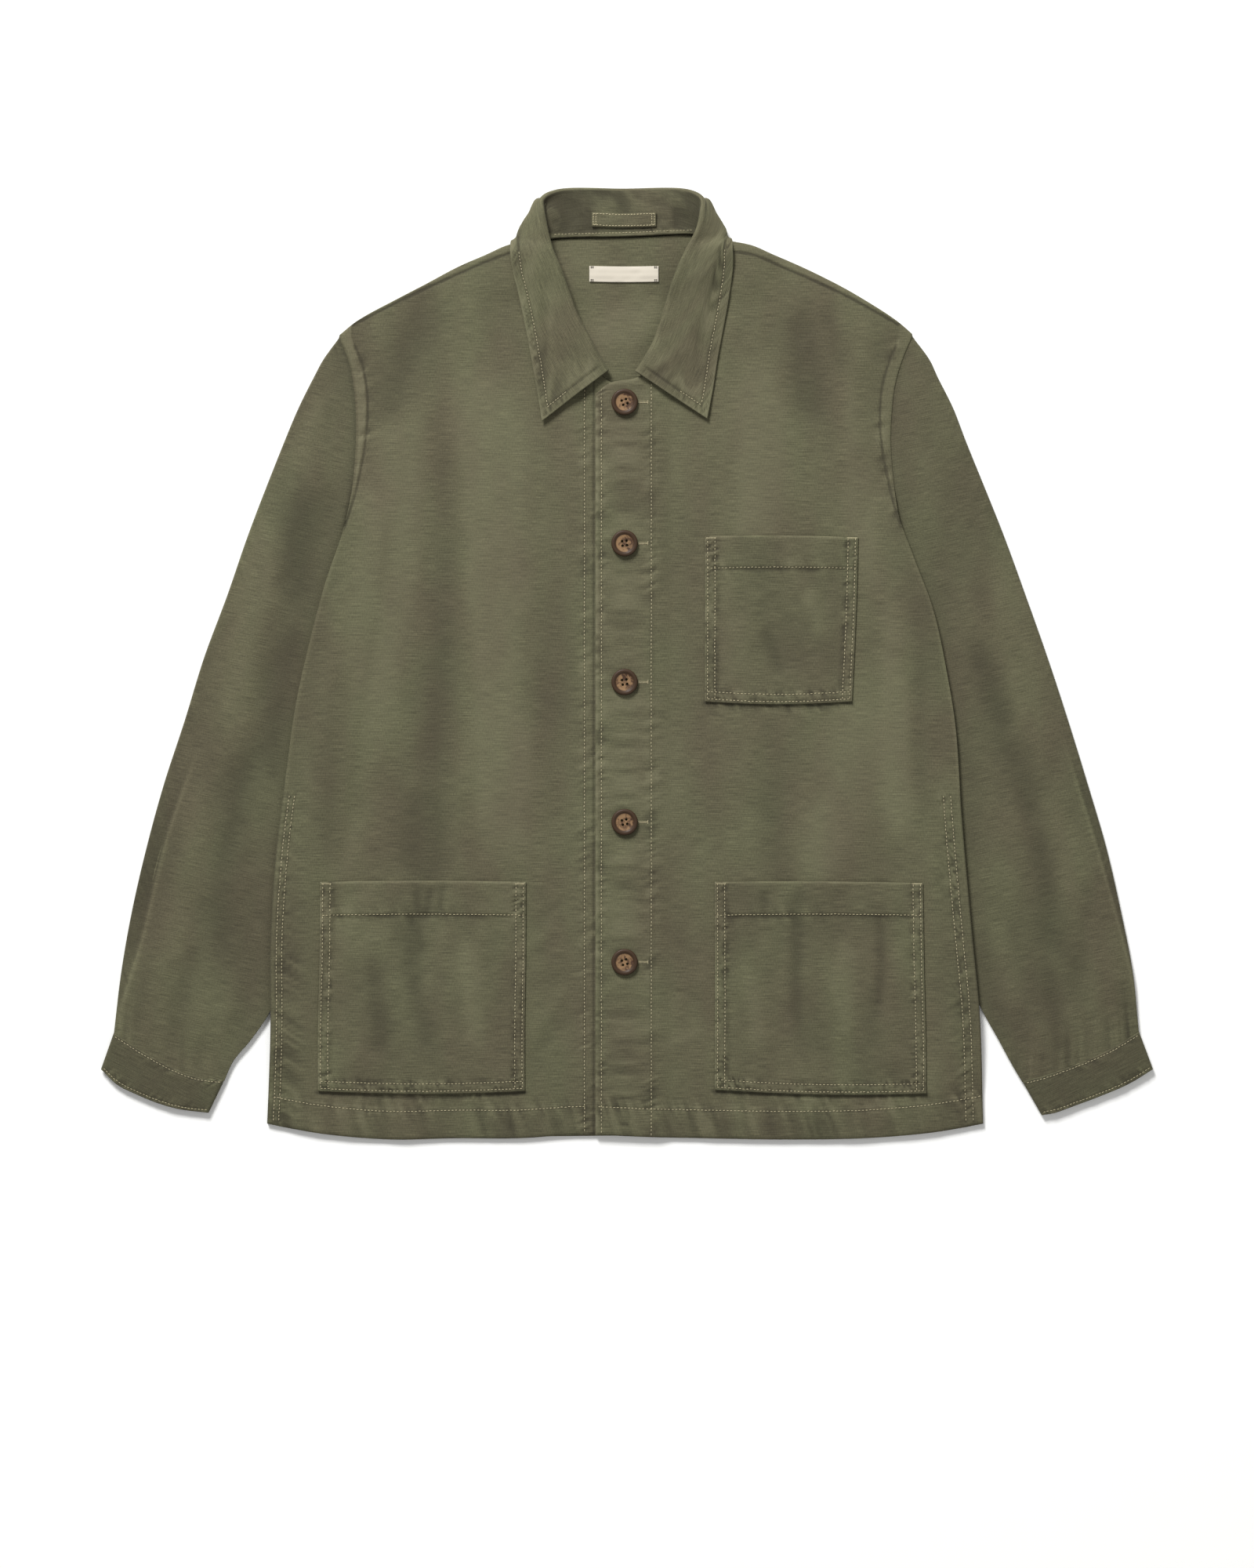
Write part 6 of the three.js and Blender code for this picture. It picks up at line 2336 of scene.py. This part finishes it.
def sew_neck(leaf: Piece, lines: Sequence[Line], strips: Sequence[Piece]) -> None:
    """Stitches on the collar leaf, the neck seam and the hanger loop.

    Args:
        leaf: The collar leaf.
        lines: Rows on the leaf.
        strips: The hanger loop and the stand.
    """
    needle = Needle([leaf])
    for line in lines:
        needle.sew(line, step=2.7, gap=0.8, width=0.7, height=0.45)
    loop = Needle([strips[0]])
    loop.plan = needle.plan
    for y in (369.6, 360.4):
        loop.sew(Line([(-28, y), (-2.5, y - 0.8), (23, y)]), step=2.6, gap=0.7, width=0.85)
    for x in (-27.6, -25.4, 20.4, 22.6):
        loop.sew(Line([(x, 370), (x, 359.8)]), step=2.0, gap=0.3, width=0.75)
    stand = Needle([strips[1]])
    stand.plan = needle.plan
    neck_seam = Line([(-60, 352.6), (-30, 353.6), (0, 354.2), (30, 355.4), (54, 356.4)])
    stand.sew(neck_seam, step=2.8, gap=0.6, width=0.6)
    polish(needle.make("collar_stitches"), THREAD, "thread", [])


def tack_label(label: Piece) -> None:
    """Small dark tacks at the four corners of the bare label.

    Args:
        label: The label.
    """
    needle = Needle([label])
    for x in (-29.4, -28.0, 22.9, 24.3):
        for y in (325.9, 315.3):
            needle.satin((x, y + 0.5), (x, y - 0.5), 1.3, 0.6)
    polish(needle.make("label_tacks"), DARK_THREAD, "thread", [])


def sew_cuffs(pieces: Sequence[Piece]) -> None:
    """A row along each edge of both cuffs.

    Args:
        pieces: The cuffs.
    """
    needle = Needle(pieces)
    across = np.linspace(0.02, 0.98, 9)
    for side in Side:
        seam, bottom = CUFF_SEAM[side].at(across), CUFF_BOTTOM[side].at(across)
        for share in (0.07, 0.925):
            line = Line([tuple(p) for p in mix(seam, bottom, share)])
            needle.sew(line, step=2.8, gap=0.7, width=0.65, height=0.4)
    polish(needle.make("cuff_stitches"), THREAD, "thread", [])


def main() -> None:
    """Builds the jacket piece by piece."""
    logging.basicConfig(level=logging.INFO, format="%(name)s %(message)s")
    Studio().make()
    back = BackPanel().make()
    right, left = make_fronts()
    right_piece, left_piece = right.make(), left.make()
    pockets = make_pockets(right, left)
    pocket_pieces = [pocket.make() for pocket in pockets]
    for sleeve in make_sleeves():
        sleeve.make()
    cuffs = [Cuff(side, 61 + side.value).make() for side in Side]
    collar = Collar()
    stand_rows, leaf_rows = collar.lines()
    leaf = collar.make_leaf(leaf_rows)
    stand = collar.make_stand(stand_rows)
    size = {"left": -29, "right": 24, "low": 359, "high": 371, "wall": 1.5, "bow": 0.8}
    loop = Strip("hanger_loop", CLOTH, "cloth", **size, seed=1)
    size = {"left": -31, "right": 26, "low": 314, "high": 327, "wall": 1.0, "bow": 0.4}
    label = Strip("neck_label", LABEL_CLOTH, "label", **size, seed=2)
    loop_piece, label_piece = loop.make(stand), label.make(back)
    for number, y in enumerate(BUTTON_YS, start=1):
        HornButton(number, y, turn=20.0 if number == 1 else 3.0 * number).make(left)
    sew_fronts([right_piece, left_piece], (right, left))
    sew_pockets(pocket_pieces, pockets)
    sew_neck(leaf, collar.seam_lines(leaf_rows), (loop_piece, stand))
    tack_label(label_piece)
    sew_cuffs(cuffs)


if __name__ == "__main__":
    main()
